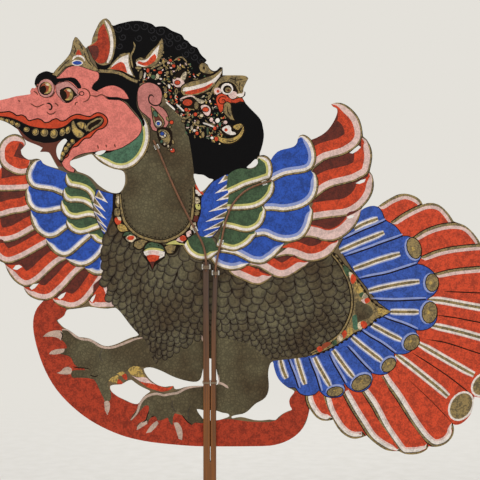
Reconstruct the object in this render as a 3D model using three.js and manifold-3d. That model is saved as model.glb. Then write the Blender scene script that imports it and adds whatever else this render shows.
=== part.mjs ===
// A hide shadow puppet of a crowned bird on a split rod.
//
// One carved sheet of hide stands upright in a rod whose upper part is split
// into four strips, two in front of the sheet and two behind it. Thin splints
// lashed to the strips stiffen the neck and the wing, and thread windings that
// pass through slots in the hide hold the splints.
//
// Millimetres, +Z up. The painted front faces -Y and the bird looks to -X.
// The origin is the centre of the flat lower end of the rod.

import * as THREE from 'three';
import { mergeVertices } from 'three/addons/utils/BufferGeometryUtils.js';
import Module from 'manifold-3d';

const wasm = await Module();
wasm.setup();

// Driving dimensions, in millimetres unless a name says otherwise.

const square = 1.35; // side of one square of the sheet that the figure is laid out on
const hideThickness = 1.8;
const clearance = 0.3; // between pieces that touch
const handleLength = 232; // rod below the line that the painted ground stands on

const footWidth = 15.6;
const stripDepth = 5.2; // front to back, of each of the four strips
const leftStripWidth = 8;
const rightStripWidth = 6.5;
const splitWidth = 2.8; // between the left and the right strips, above the waist
const stemWidth = leftStripWidth + splitWidth + rightStripWidth;
const waistSplitWidth = 0.8; // the same split below the waist
const splitBelowHide = 20; // how far the split runs on below the hide
const rodEdge = 1.5; // bevel along the edges of the rod
const tongueDepth = 1.8; // what is left of a strip under the end of a splint
const tongueLength = 13;

const splintDiameter = 2.8;
const splintSides = 8;
const splintFall = 16; // the stretch over which a splint comes down from its tongue to the hide
const splintSpots = 40; // points that its line is drawn through

const threadDiameter = 1;
const threadPitch = 1.5; // from loop to loop along a winding
const loopSteps = 24;
const threadSides = 6;
const slotMargin = 0.35; // between a thread and the edge of its slot in the hide

const curveSteps = 2; // straight runs between two points of a smooth edge

// The layout sheet: squares are counted to the right (first number) and down
// (second number). The rod stands on this column, and this row is the line
// that the painted ground stands on.

const rodColumn = 209.8;
const lowestRow = 446.3;

function onSheet([column, row]) {
  return [(column - rodColumn) * square, (lowestRow - row) * square + handleLength];
}

// The outer edge of the hide, clockwise as seen from the front. Each list is
// one smooth stretch, and two lists meet in a corner.

const outerEdge = {
  snoutTop: [[-15.5, 109], [-14.5, 105.5], [-9, 102.6], [0, 100.3], [8, 98.6], [16, 96.4], [24, 95.3],
    [30.6, 94.2]],
  noseBump: [[30.4, 91], [32.3, 88], [34.8, 88.4], [36.2, 87.2]],
  temple: [[34.6, 84], [35.5, 79], [38, 75], [42, 72.5], [47, 71.2], [51.5, 72.6]],
  frontOrnament: [[53.5, 73], [57, 68.5], [61.5, 63.8], [66, 59], [70, 53.5], [72, 47], [73, 41.5],
    [75.2, 37]],
  frontOrnamentBack: [[77.2, 37.6], [80, 40.8], [83, 45], [86, 48.3]],
  tallLeafFront: [[88, 46.3], [91.3, 44.3], [92.2, 39], [94.2, 33.5], [97, 27.5], [99.6, 22.5],
    [103, 19.3], [106.5, 18.4]],
  tallLeafBack: [[109.3, 20.6], [110.8, 22.6], [111.8, 25]],
  hairCurlOne: [[114, 25.8], [118, 24.2], [124, 22.7], [131, 21.2], [139, 20.9], [146, 22.2], [152, 24],
    [155.5, 27]],
  hairCurlTwo: [[159, 26.4], [165, 26.6], [171.5, 30.6], [177, 32.8], [182, 35.2], [184.3, 39.3]],
  hairCurlThree: [[188, 41.2], [192, 45.8], [197.3, 47.9], [199.8, 52.8], [203.2, 57], [206.6, 60.3],
    [204.6, 62.6]],
  smallLeaf: [[207.6, 64.6], [210, 69], [214, 71.2], [217, 70.2], [220, 67]],
  longLeafTip: [[222.6, 67.6], [222.7, 71.6], [222.6, 75.4]],
  birdCrest: [[230, 75.4], [238, 75.4], [245.6, 76], [248.4, 78.2]],
  birdBack: [[246.2, 82.5], [243.6, 88], [243.2, 91]],
  birdSpur: [[245.4, 92], [245.2, 95.3], [242.4, 97.7]],
  hairBack: [[245.8, 103.6], [250, 108.2], [254.6, 112.8], [258.6, 117], [261.4, 121.4], [262.8, 127],
    [263.9, 134],
    [263.3, 141], [261.6, 148], [259.8, 153]],
  wingGreenTip: [[259.6, 155.6], [263.8, 155], [268, 156.8], [270.8, 160]],
  wingBlueTop: [[273, 156.4], [277.5, 151.8], [283, 149.5], [289, 148.2], [294, 146.4], [297, 143],
    [297.7, 139.4]],
  wingBlueTip: [[299.4, 135.8], [303, 134.6], [307.6, 136.4], [311.2, 139.8]],
  wingRedTop: [[316, 138], [322, 134.8], [328, 129.8], [332.6, 123.4], [335.7, 117.5], [337.4, 112],
    [336.8, 108.4],
    [333.4, 106.8], [331.2, 104.2]],
  wingRedTip: [[336, 102.8], [341.3, 103.1], [347.3, 105.8], [352.3, 109.8], [356.3, 114.3], [359.4, 119.4],
    [361.4, 125.4], [362.5, 131.4], [363, 136.3]],
  wingRedSecond: [[366.8, 139.8], [370, 145.3], [372, 152], [372.1, 159], [370.9, 166], [369.6, 171.4]],
  wingRedThird: [[372.3, 175.3], [373.8, 182], [373.3, 190], [370.6, 197], [366.6, 203], [362.4, 207.4],
    [360.4, 210.8]],
  tailBlueTop: [[364, 208.3], [369, 206.4], [374, 205.8], [377.6, 206.8]],
  tailTipOne: [[381, 204], [386, 200.6], [391, 197.8], [397, 194.8], [404, 193.6], [411, 194.8],
    [417, 197.4],
    [421.2, 201.3], [422.5, 204.5]],
  tailTipTwo: [[427, 203.1], [433, 203], [439, 205], [444.6, 209.4], [449.6, 215.2], [453.6, 221.4]],
  tailTipThree: [[459, 223.3], [465, 225.7], [471, 230.7], [476.6, 237.2], [480.6, 243.6]],
  tailTipFour: [[486.6, 245.2], [492, 250.4], [495.6, 257.6], [497, 265.4]],
  tailTipFive: [[501.6, 269.6], [505, 276.4], [506.4, 284.6], [505.6, 292.6]],
  tailTipSix: [[509.2, 299], [510.6, 307], [509.8, 315], [507, 322.4]],
  tailTipSeven: [[508.6, 330], [507.4, 339], [503.4, 347], [497.6, 353]],
  tailTipEight: [[499.4, 361], [498.8, 370], [495.8, 378], [493.4, 386], [488, 393.4], [480.6, 397.4],
    [474.2, 396.4]],
  tailTipNine: [[473.4, 403], [471.8, 411], [467.4, 418.2], [461, 423.6], [455.4, 424.8], [453, 424]],
  tailTipTen: [[454, 429], [453, 435], [449, 440.8], [443.5, 444.8], [436, 446.8], [428.6, 446.2]],
  tailTipEleven: [[426.8, 449.4], [421.2, 452.8], [413, 454.4], [405, 453.8], [398.6, 451]],
  tailTipTwelve: [[392, 451], [386, 450], [379, 446], [372, 440.6], [366.6, 435.4]],
  tailTipThirteen: [[361, 437.6], [355, 438.8], [348, 437], [341, 432], [336, 425.4], [333, 419.6]],
  tailTipFourteen: [[328, 420.6], [322, 420.4], [316.2, 417.2], [311.8, 412], [309.6, 408.4]],
  baseEnd: [[308.9, 412], [306.8, 420], [303, 427.6], [297, 434.4], [289, 439.8], [280, 443.5],
    [270, 445.6], [255, 446.1]],
  baseLine: [[240, 446.3], [210, 446.3], [195, 446], [180, 445], [165, 443.6], [150, 441.8],
    [138, 439.6], [126, 436.6],
    [114, 432.3], [102, 426.8], [90, 420], [78, 411.3], [66.5, 400.8], [57, 390], [49.4, 378.3],
    [43, 365], [38.4, 352],
    [35, 339], [33.2, 327], [34, 316], [37.6, 307.4], [43.6, 300.6]],
  farTipSix: [[39, 300.2], [33.6, 298.3], [28.2, 294.8], [24.6, 289.6], [23.8, 286.8]],
  farTipFive: [[19, 284.4], [14, 280.4], [9.8, 274.8], [6.8, 269], [5.4, 264.6]],
  farTipFour: [[4, 263], [-1.6, 260], [-7, 254], [-10.6, 247], [-12, 240.6]],
  farTipThree: [[-12.4, 232], [-14.6, 225], [-15, 217.5], [-13.6, 210.6]],
  farTipTwo: [[-15.4, 202], [-15, 195], [-13.2, 189.6]],
  farTipOne: [[-13.6, 181], [-10.6, 174.6], [-5, 169.8], [1.8, 167.4]],
  farCurl: [[-0.6, 162], [-1.8, 155], [-1.4, 148], [1, 142.2], [5, 137.8], [10, 135], [15.4, 134],
    [20.8, 135.6],
    [24.4, 139.4], [25.6, 144.2], [23, 147.6]],
  farCurlInside: [[20.8, 150], [21.6, 154], [24.6, 157.4], [28.6, 159.6]],
  farBlueTop: [[32, 159.6], [36.4, 158.6], [40.6, 159.8], [43, 163.2], [48, 165.8], [54, 167.6],
    [58.6, 168.6]],
  tongueFront: [[55, 163], [51.6, 156.5], [49, 152.6], [44.4, 151.8], [40.2, 152]],
  tongueTip: [[42.6, 147.8], [37, 145], [30.6, 142.6], [25, 139.6], [21, 134.6], [18, 129.6]],
  teethFront: [[13, 126.2], [7.4, 122.8], [2, 120.6], [-5, 118.6], [-11, 116.4], [-14.6, 113]],
};

// The cut-outs. Each is one list, smooth all round unless it is in the
// straight-sided group below.

const cutOuts = {
  mouth: [[60.4, 141.4], [64.6, 138.6], [67.4, 140.6], [64, 145.6], [62.4, 150], [60.6, 155],
    [60.2, 160], [58, 158],
    [56.2, 152], [57, 146]],
  underJaw: [[95, 153.2], [100.5, 150.6], [106, 150.5], [103.6, 153.4], [98.6, 155.3]],
  chin: [[70.4, 161], [77, 158.7], [85, 155.9], [91.6, 154.2], [94.4, 157], [99, 161.4], [106, 165.7],
    [114, 169],
    [121.6, 170.4], [124.4, 173], [125.2, 178], [124.8, 184], [122.4, 189.6], [119, 192.8],
    [114.6, 193.2], [109.8, 192],
    [105, 189.6], [100.6, 186.6], [96.6, 183.2], [92.6, 178.8], [88, 175.4], [82.4, 173], [77.4, 171.3],
    [75.4, 169],
    [72.6, 167], [70.2, 165]],
  underHair: [[193.6, 174], [198, 174.4], [203.6, 175], [209, 178.4], [213.6, 179.6], [209, 184.4],
    [204.6, 189.6],
    [200.6, 191.6], [197.6, 187], [195.2, 181.6]],
  behindHair: [[256.6, 159], [258, 162.4], [255.6, 166.2], [250.4, 168.2], [246.6, 167.4],
    [250.8, 163.4], [254, 160]],
  shin: [[66.8, 310], [73, 309], [81, 308], [89, 306.6], [100, 308.2], [108, 308.6], [115.4, 307.8],
    [118.6, 310],
    [121.6, 313.4], [125.4, 318.4], [130.4, 325], [135, 330.4], [138.8, 335], [131, 337.6],
    [124, 340.6], [116, 344.2],
    [108, 346.2], [102, 345.2], [96, 341.8], [90, 338.8], [84, 337.5], [79, 337], [74, 333.7], [69, 330.2],
    [64.2, 327.8], [60.2, 324.2], [57.4, 320.4], [60.6, 318.4], [64.4, 315.2]],
  aboveSpur: [[143.6, 368.8], [150, 367.2], [157, 369], [164, 372], [172, 376], [180, 379],
    [189, 381.2], [196.4, 381.7],
    [200.2, 379.4], [202, 374], [204, 365], [206.4, 359], [212.6, 359], [215.6, 366], [217.4, 374],
    [218.6, 380.6],
    [217.6, 384.4], [211, 386], [202, 385.9], [192, 386], [184, 387.3], [178.6, 389], [174.6, 388.8],
    [173.4, 386],
    [165, 386.9], [158, 385.2], [152, 381.4], [147.4, 376.6]],
  belowSpur: [[110.2, 386], [115, 384.6], [121.6, 384.2], [126.6, 381.2], [131.4, 379.8],
    [134.8, 382.2], [140, 385.8],
    [146.4, 389], [150.4, 391.2], [147, 393.8], [143.2, 397.2], [140.4, 401], [137.6, 404], [132, 403.2],
    [126, 400.4], [119, 397.2], [113.4, 393.4], [110.6, 390]],
  behindRod: [[196.8, 409], [203.4, 410], [210, 410], [216.6, 410.6], [222.4, 412.6], [228.4, 413.8],
    [229.4, 416.2],
    [225, 418.2], [219, 420], [210, 420.6], [204.4, 420], [201, 416.4], [198.4, 412.8]],
  behindLeg: [[231.6, 416.4], [236.4, 414.8], [242.4, 413.8], [247.4, 411.3], [252.4, 406.5],
    [256.4, 403], [260.4, 401],
    [265.4, 397.4], [268.4, 391], [268.8, 383], [268.2, 376], [268.6, 369], [270.6, 363],
    [272.8, 361.6], [273.8, 366.4],
    [275.4, 372.2], [278.4, 378.7], [283.4, 384.2], [289.2, 388.2], [294.4, 391], [293, 394.2],
    [290.4, 397.4],
    [289.2, 401.6], [290.2, 406.2], [292, 409.6], [288.4, 411], [282.8, 413.8], [278.2, 417.4],
    [275.4, 420],
    [269.6, 419.6], [262, 420.4], [254, 420], [247, 418.2], [241, 417], [236, 417.6], [232, 418.2]],
};

const smallCutOuts = {
  farWingTipFive: [[12.6, 269], [15.6, 265.4], [19.4, 264.8], [22.4, 266.8], [17, 270]],
  farWingTipSix: [[29.4, 287.6], [33, 284.2], [38.8, 283.4], [35, 288], [31.6, 289.8]],
  farWingTipSeven: [[57.4, 297.8], [61, 294.4], [66.2, 292], [63.6, 297], [60, 299.6]],
  farWingTipEight: [[90, 300.4], [92.2, 297], [95.8, 294], [94.4, 298.6], [92.2, 302.8]],
  wingTipTwo: [[349.4, 153], [354, 149], [358.6, 145.4], [361, 147], [357.4, 150.8], [352.6, 153.6]],
  wingTipThree: [[355.4, 183.3], [361, 180], [365.8, 178.8], [364.4, 182], [359.4, 184]],
  wingTipFour: [[346.4, 217], [350, 215.4], [354.8, 215.8], [352, 218], [348.4, 218.6]],
};

// Where the splints run over the hide, from the end that is lashed to the rod
// to the tip, and where each winding sits along its splint (0 to 1).

const neckRoute = [[203.4, 246], [193, 225.4], [183, 206], [170, 178], [160.4, 155], [153.6, 140.4]];
const wingRoute = [[218.6, 252], [221.6, 240], [226.4, 219], [233, 204], [242, 193.6], [252, 187.2],
  [271.5, 180.6]];
const neckTies = { necklace_tie: [0.31, 3], neck_tip_tie: [0.95, 3] };
const wingTies = { wing_root_tie: [0.3, 2], wing_tip_tie: [0.94, 3] };

// The rows where the strips end, where the waist binding sits, and the loops
// of the three bindings round the rod.

const leftStripRow = 262;
const rightStripRow = 268;
const waistRow = 382;
const shoulderLoops = 3;
const waistLoops = 2;
const leftStripLean = 0.3; // outward, at the top of the left strips
const rightStripLean = 2.6; // outward, at the top of the right strips

// Derived places.

const hideFace = hideThickness / 2;
const stripInner = hideFace + clearance;
const stripOuter = stripInner + stripDepth;
const splintRadius = splintDiameter / 2;
const splintOnHide = stripInner + splintRadius;
const splintOnTongue = stripInner + tongueDepth + clearance + splintRadius;
const threadRadius = threadDiameter / 2;
const waistHeight = onSheet([0, waistRow])[1];
const splitFloor = handleLength - splitBelowHide;

const hideMaterial = new THREE.MeshStandardMaterial({ color: 0x9a8648, roughness: 0.7, metalness: 0 });
const rodMaterial = new THREE.MeshStandardMaterial({ color: 0x8a6234, roughness: 0.55, metalness: 0 });
const splintMaterial = new THREE.MeshStandardMaterial({ color: 0x8f6a4a, roughness: 0.6, metalness: 0 });
const threadMaterial = new THREE.MeshStandardMaterial({ color: 0xb0a080, roughness: 0.9, metalness: 0 });

const puppet = new THREE.Group();

function addNode(name, geometry, material) {
  const mesh = new THREE.Mesh(geometry, material);
  mesh.name = name;
  puppet.add(mesh);
}

// Solids

function welded(geometry) {
  const bare = geometry.clone();
  bare.deleteAttribute('normal');
  bare.deleteAttribute('uv');
  return mergeVertices(bare, 1e-4);
}

function toSolid(geometry) {
  const mesh = welded(geometry);
  return new wasm.Manifold(new wasm.Mesh({
    numProp: 3,
    vertProperties: new Float32Array(mesh.attributes.position.array),
    triVerts: new Uint32Array(mesh.index.array),
  }));
}

function toGeometry(solid) {
  const mesh = solid.getMesh();
  const geometry = new THREE.BufferGeometry();
  geometry.setAttribute('position', new THREE.BufferAttribute(mesh.vertProperties, 3));
  geometry.setIndex(new THREE.BufferAttribute(mesh.triVerts, 1));
  geometry.computeVertexNormals();
  return geometry;
}

// A front-view outline as an upright slab, centred on y = 0.
function uprightSlab(shape, depth, bevel = 0) {
  const settings = { depth: depth - 2 * bevel, curveSegments: 8, bevelEnabled: bevel > 0 };
  if (bevel > 0) {
    const rounding = { bevelSize: bevel, bevelThickness: bevel, bevelOffset: -bevel, bevelSegments: 2 };
    Object.assign(settings, rounding);
  }
  const slab = new THREE.ExtrudeGeometry(shape, settings);
  slab.translate(0, 0, bevel - depth / 2);
  slab.rotateX(Math.PI / 2);
  return slab;
}

function block(width, depth, height, x, y, z) {
  return toSolid(new THREE.BoxGeometry(width, depth, height).translate(x, y, z));
}

// Smooth edges

function smooth(points, closed = false) {
  const spots = points.map((point) => new THREE.Vector3(...onSheet(point), 0));
  const curve = new THREE.CatmullRomCurve3(spots, closed, 'centripetal');
  const spans = closed ? points.length : points.length - 1;
  const samples = [];
  for (let step = 0; step < spans * curveSteps + (closed ? 0 : 1); step += 1) {
    const spot = curve.getPoint(step / (spans * curveSteps));
    samples.push(new THREE.Vector2(spot.x, spot.y));
  }
  return samples;
}

// Splints

function splintRoute(route, side, rootX, rootRow) {
  const rootZ = onSheet([0, rootRow])[1];
  const onTongue = [rootZ - tongueLength, rootZ].map((z) => new THREE.Vector3(rootX, 0, z));
  const overHide = route.map(onSheet).map(([x, z]) => new THREE.Vector3(x, 0, z));
  const line = new THREE.CatmullRomCurve3([...onTongue, ...overHide], false, 'centripetal');
  const spots = line.getSpacedPoints(splintSpots);
  spots.forEach((spot) => {
    const height = spot.z - spots[0].z;
    const fall = THREE.MathUtils.smoothstep(height, tongueLength, tongueLength + splintFall);
    spot.y = side * THREE.MathUtils.lerp(splintOnTongue, splintOnHide, fall);
  });
  return new THREE.CatmullRomCurve3(spots, false, 'centripetal');
}

function splint(curve) {
  const section = new THREE.Shape();
  for (let corner = 0; corner < splintSides; corner += 1) {
    const angle = (2 * Math.PI * corner) / splintSides;
    const spot = [splintRadius * Math.cos(angle), splintRadius * Math.sin(angle)];
    if (corner === 0) section.moveTo(...spot);
    else section.lineTo(...spot);
  }
  const steps = Math.round(curve.getLength() / (2.4 * splintDiameter));
  return new THREE.ExtrudeGeometry(section, { steps, bevelEnabled: false, extrudePath: curve });
}

// Windings: one unbroken tube that goes round a rounded rectangle and climbs by
// one pitch for each turn. It leaves a clearance round what it holds.

// One spot of a loop: each quarter of it is a corner of four steps and a
// straight side of two, or a corner alone where the side has no length.
function loopSpot(step, { halfWidth, halfDepth, edge }) {
  const reach = clearance + threadRadius;
  const radius = edge + reach;
  const quarterSteps = loopSteps / 4;
  const quarter = Math.floor(step / quarterSteps) % 4;
  const sideLength = (quarter % 2 === 0 ? halfWidth : halfDepth) - edge;
  const cornerSteps = sideLength > 0 ? quarterSteps - 2 : quarterSteps;
  const corner = (number, share) => {
    const angle = (Math.PI / 2) * (number + share);
    const wide = [1, -1, -1, 1][number % 4] * (halfWidth - edge);
    const deep = [1, 1, -1, -1][number % 4] * (halfDepth - edge);
    return new THREE.Vector2(wide + radius * Math.cos(angle), deep + radius * Math.sin(angle));
  };
  const place = step % quarterSteps;
  if (place <= cornerSteps) return corner(quarter, place / cornerSteps);
  return corner(quarter, 1).lerp(corner((quarter + 1) % 4, 0), 0.5);
}

// Both ends run straight for one diameter, square to the hide.
function windingPoints(place) {
  const { centre, along, across, loops } = place;
  const outward = new THREE.Vector3(0, -1, 0);
  const points = [];
  for (let step = 0; step <= loops * loopSteps; step += 1) {
    const spot = loopSpot(step, place);
    const climb = (step / loopSteps - loops / 2) * threadPitch;
    points.push(centre.clone()
      .addScaledVector(across, spot.x)
      .addScaledVector(outward, spot.y)
      .addScaledVector(along, climb));
  }
  const endRun = outward.clone().multiplyScalar(threadDiameter);
  points.unshift(points[0].clone().sub(endRun));
  points.push(points[points.length - 1].clone().add(endRun));
  return points;
}

function leastSelfGap(points) {
  let least = Infinity;
  for (let first = 0; first < points.length; first += 1) {
    for (let second = first + loopSteps / 2; second < points.length; second += 1) {
      least = Math.min(least, points[first].distanceTo(points[second]));
    }
  }
  return least - threadDiameter;
}

// A tube through the points, whose first corner always looks to the centre.
function tubeThrough(points, centre) {
  const positions = [];
  const faces = [];
  const rings = points.length;
  points.forEach((point, ring) => {
    const before = points[Math.max(ring - 1, 0)];
    const after = points[Math.min(ring + 1, rings - 1)];
    const heading = after.clone().sub(before).normalize();
    const helper = centre.clone().sub(point).projectOnPlane(heading).normalize();
    const side = heading.clone().cross(helper);
    for (let corner = 0; corner < threadSides; corner += 1) {
      const angle = (2 * Math.PI * corner) / threadSides;
      positions.push(...point.clone()
        .addScaledVector(helper, threadRadius * Math.cos(angle))
        .addScaledVector(side, threadRadius * Math.sin(angle)).toArray());
    }
  });
  for (let ring = 0; ring < rings - 1; ring += 1) {
    for (let corner = 0; corner < threadSides; corner += 1) {
      const next = (corner + 1) % threadSides;
      const here = ring * threadSides;
      const there = here + threadSides;
      faces.push(here + corner, here + next, there + next, here + corner, there + next, there + corner);
    }
  }
  const last = (rings - 1) * threadSides;
  for (let corner = 1; corner < threadSides - 1; corner += 1) {
    faces.push(0, corner + 1, corner);
    faces.push(last, last + corner, last + corner + 1);
  }
  const geometry = new THREE.BufferGeometry();
  geometry.setAttribute('position', new THREE.Float32BufferAttribute(positions, 3));
  geometry.setIndex(faces);
  geometry.computeVertexNormals();
  return geometry;
}

function addWinding(name, place) {
  const points = windingPoints(place);
  console.log(`${name}: least gap of the thread to itself ${leastSelfGap(points).toFixed(2)} mm`);
  addNode(name, tubeThrough(points, place.centre), threadMaterial);
}

// The two slots in the hide that the loops of one winding pass through.
function slotsOf({ centre, along, across, halfWidth, loops }) {
  const length = loops * threadPitch + threadDiameter + 2 * slotMargin;
  const width = threadDiameter + 2 * slotMargin;
  const lean = Math.atan2(along.x, along.z);
  return [-1, 1].map((side) => {
    const spot = centre.clone().addScaledVector(across, side * (halfWidth + clearance + threadRadius));
    const slot = new THREE.BoxGeometry(width, 4 * hideThickness, length).rotateY(lean);
    return toSolid(slot.translate(spot.x, spot.y, spot.z));
  });
}

// The places of the windings

function tiePlace(curve, [share, loops]) {
  const centre = curve.getPointAt(share).setY(0);
  const along = curve.getTangentAt(share).setY(0).normalize();
  const across = new THREE.Vector3(-along.z, 0, along.x);
  const halfDepth = splintOnHide + splintRadius;
  return { centre, along, across, halfWidth: splintRadius, halfDepth, edge: splintRadius, loops };
}

function bindingPlace(x, z, halfWidth, loops) {
  const along = new THREE.Vector3(0, 0, 1);
  const across = new THREE.Vector3(1, 0, 0);
  const centre = new THREE.Vector3(x, 0, z);
  return { centre, along, across, halfWidth, halfDepth: stripOuter, edge: rodEdge, loops };
}

const leftOuter = -stemWidth / 2;
const leftInner = leftOuter + leftStripWidth;
const rightInner = stemWidth / 2 - rightStripWidth;
const leftTop = onSheet([0, leftStripRow])[1];
const rightTop = onSheet([0, rightStripRow])[1];
const leftTopX = leftOuter - leftStripLean + leftStripWidth / 2;
const rightTopX = rightInner + rightStripLean + rightStripWidth / 2;

const neckCurves = [-1, 1].map((side) => splintRoute(neckRoute, side, leftTopX, leftStripRow));
const wingCurves = [-1, 1].map((side) => splintRoute(wingRoute, side, rightTopX, rightStripRow));

// The strips lean outward over these heights, so a binding sits a little
// nearer to the middle than the tops of its strips.
const bindingDrop = tongueLength / 2;
const leftLeanHeight = leftTop - waistHeight;
const rightLeanHeight = (rightTop - waistHeight) / 2;
const leftBindingX = leftTopX + (leftStripLean * bindingDrop) / leftLeanHeight;
const rightBindingX = rightTopX - (rightStripLean * bindingDrop) / rightLeanHeight;

const leftBindingZ = leftTop - bindingDrop;
const rightBindingZ = rightTop - bindingDrop;

const windings = {
  left_shoulder_binding: bindingPlace(leftBindingX, leftBindingZ, leftStripWidth / 2, shoulderLoops),
  right_shoulder_binding: bindingPlace(rightBindingX, rightBindingZ, rightStripWidth / 2, shoulderLoops),
  waist_binding: bindingPlace(0, waistHeight, stemWidth / 2, waistLoops),
};
const throughHide = ['left_shoulder_binding', 'right_shoulder_binding'];
Object.entries(neckTies).forEach(([name, tie]) => {
  windings[name] = tiePlace(neckCurves[0], tie);
  throughHide.push(name);
});
Object.entries(wingTies).forEach(([name, tie]) => {
  windings[name] = tiePlace(wingCurves[0], tie);
  throughHide.push(name);
});

// The hide. An extruded shape turns its holes the right way only where its
// outer edge runs counterclockwise, so the edge is reversed.

const hideShape = new THREE.Shape(Object.values(outerEdge).flatMap((stretch) => smooth(stretch)).reverse());
Object.values(cutOuts).forEach((edge) => hideShape.holes.push(new THREE.Path(smooth(edge, true))));
Object.values(smallCutOuts).forEach((edge) => {
  hideShape.holes.push(new THREE.Path(edge.map(onSheet).map(([x, z]) => new THREE.Vector2(x, z))));
});
let hide = toSolid(uprightSlab(hideShape, hideThickness));
throughHide.flatMap((name) => slotsOf(windings[name])).forEach((slot) => {
  hide = hide.subtract(slot);
});
addNode('hide_figure', welded(toGeometry(hide)), hideMaterial);

// The rod: one fork-shaped outline, split from front to back for the hide,
// with a tongue at the top of each strip for the end of its splint.

function rodSolid() {
  const rodDepth = 2 * stripOuter;
  const waistStep = 6;
  const splitMiddle = (leftInner + rightInner) / 2;
  const waistSplit = waistSplitWidth / 2;
  const outline = new THREE.Shape([
    [-footWidth / 2, 0],
    [footWidth / 2, 0],
    [stemWidth / 2, splitFloor / 2],
    [stemWidth / 2, waistHeight],
    [stemWidth / 2, rightTop - rightLeanHeight],
    [stemWidth / 2 + rightStripLean, rightTop],
    [rightInner + rightStripLean, rightTop],
    [rightInner, rightTop - rightLeanHeight],
    [rightInner, waistHeight + waistStep],
    [splitMiddle + waistSplit, waistHeight - waistStep],
    [splitMiddle + waistSplit, splitFloor],
    [splitMiddle - waistSplit, splitFloor],
    [splitMiddle - waistSplit, waistHeight - waistStep],
    [leftInner, waistHeight + waistStep],
    [leftInner - leftStripLean, leftTop],
    [leftOuter - leftStripLean, leftTop],
    [leftOuter, waistHeight],
    [-stemWidth / 2, splitFloor / 2],
  ].map(([x, z]) => new THREE.Vector2(x, z)));
  let rod = toSolid(uprightSlab(outline, rodDepth, rodEdge));
  const tall = leftTop + handleLength;
  const wide = 3 * stemWidth;
  rod = rod.subtract(block(wide, 2 * stripInner, tall, 0, 0, splitFloor + tall / 2));
  const tongueFace = stripInner + tongueDepth;
  const rebateDepth = stripDepth;
  [[leftTopX, leftTop, leftStripWidth],
  [rightTopX, rightTop, rightStripWidth]].forEach(([x, top, width]) => {
    const grooveWidth = splintDiameter + 2 * clearance;
    const groove = Math.min(grooveWidth, width);
    [-1, 1].forEach((side) => {
      const y = side * (tongueFace + rebateDepth / 2);
      rod = rod.subtract(block(groove, rebateDepth, 2 * (tongueLength + clearance), x, y, top));
    });
  });
  return rod;
}

addNode('split_rod', welded(toGeometry(rodSolid())), rodMaterial);

['front', 'back'].forEach((face, index) => {
  addNode(`neck_splint_${face}`, welded(splint(neckCurves[index])), splintMaterial);
  addNode(`wing_splint_${face}`, welded(splint(wingCurves[index])), splintMaterial);
});

Object.entries(windings).forEach(([name, place]) => addWinding(name, place));

export default puppet;
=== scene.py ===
"""A hide shadow puppet of a crowned bird: its paint, materials, stage and camera."""

import math
import random
from typing import NamedTuple

import bpy
from bpy.props import FloatProperty, FloatVectorProperty, PointerProperty
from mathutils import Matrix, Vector
from mathutils.geometry import delaunay_2d_cdt
from mathutils.kdtree import KDTree


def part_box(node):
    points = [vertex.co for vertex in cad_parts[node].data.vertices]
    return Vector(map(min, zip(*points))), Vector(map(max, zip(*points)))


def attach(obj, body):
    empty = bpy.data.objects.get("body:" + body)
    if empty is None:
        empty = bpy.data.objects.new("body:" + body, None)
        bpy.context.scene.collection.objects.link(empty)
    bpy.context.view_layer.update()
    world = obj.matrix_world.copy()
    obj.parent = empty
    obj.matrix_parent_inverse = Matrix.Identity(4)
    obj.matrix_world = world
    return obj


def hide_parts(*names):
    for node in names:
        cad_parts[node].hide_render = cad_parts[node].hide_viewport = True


bl_info = {
    "name": "Hide shadow puppet",
    "version": (1, 0, 0),
    "blender": (4, 5, 0),
    "location": "View3D > Sidebar > Shadow puppet",
    "description": "Paints and lights a carved hide bird held in a split rod",
    "category": "Object",
}

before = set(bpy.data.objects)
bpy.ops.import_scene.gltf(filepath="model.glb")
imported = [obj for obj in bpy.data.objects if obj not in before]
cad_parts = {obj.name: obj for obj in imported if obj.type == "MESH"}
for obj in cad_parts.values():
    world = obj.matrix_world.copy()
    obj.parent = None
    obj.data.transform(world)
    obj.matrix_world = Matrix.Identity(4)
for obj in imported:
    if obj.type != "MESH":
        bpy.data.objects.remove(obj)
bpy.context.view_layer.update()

# The layout sheet of the figure counts squares to the right and down. The
# hide's outermost squares fix the side of a square and where the rod stands.
LEFT_COLUMN, RIGHT_COLUMN = -15.5, 510.6
LOWEST_ROW = 454.4
PICTURE_SQUARES = 480
HIDE_LOW, HIDE_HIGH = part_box("hide_figure")
HIDE_HALF = (HIDE_HIGH.y - HIDE_LOW.y) / 2
SQUARE = (HIDE_HIGH.x - HIDE_LOW.x) / (RIGHT_COLUMN - LEFT_COLUMN)
ROD_COLUMN = LEFT_COLUMN - HIDE_LOW.x / SQUARE
TOUCH = 0.001  # squares; spots nearer than this are one
WELD = 1e-6  # metres; corners of the modelled parts nearer than this are one
IN_FACE = 10 * WELD  # metres; corners nearer than this to the hide's front face lie in it


def in_room(column, row):
    """The place of a layout square in the hide's plane, as (x, z) in metres."""
    return (column - ROD_COLUMN) * SQUARE, HIDE_LOW.z + (LOWEST_ROW - row) * SQUARE


def linear(hex_colour):
    """An sRGB hex colour as linear red, green, blue and alpha."""
    channels = [int(hex_colour[i : i + 2], 16) / 255 for i in (1, 3, 5)]
    bent = [c / 12.92 if c <= 0.04045 else ((c + 0.055) / 1.055) ** 2.4 for c in channels]
    return (*bent, 1.0)


def colour_choice(name, description, hex_colour):
    """A colour that a user can change."""
    return FloatVectorProperty(
        name=name, description=description, subtype="COLOR", size=4, min=0, max=1, default=linear(hex_colour)
    )


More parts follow.
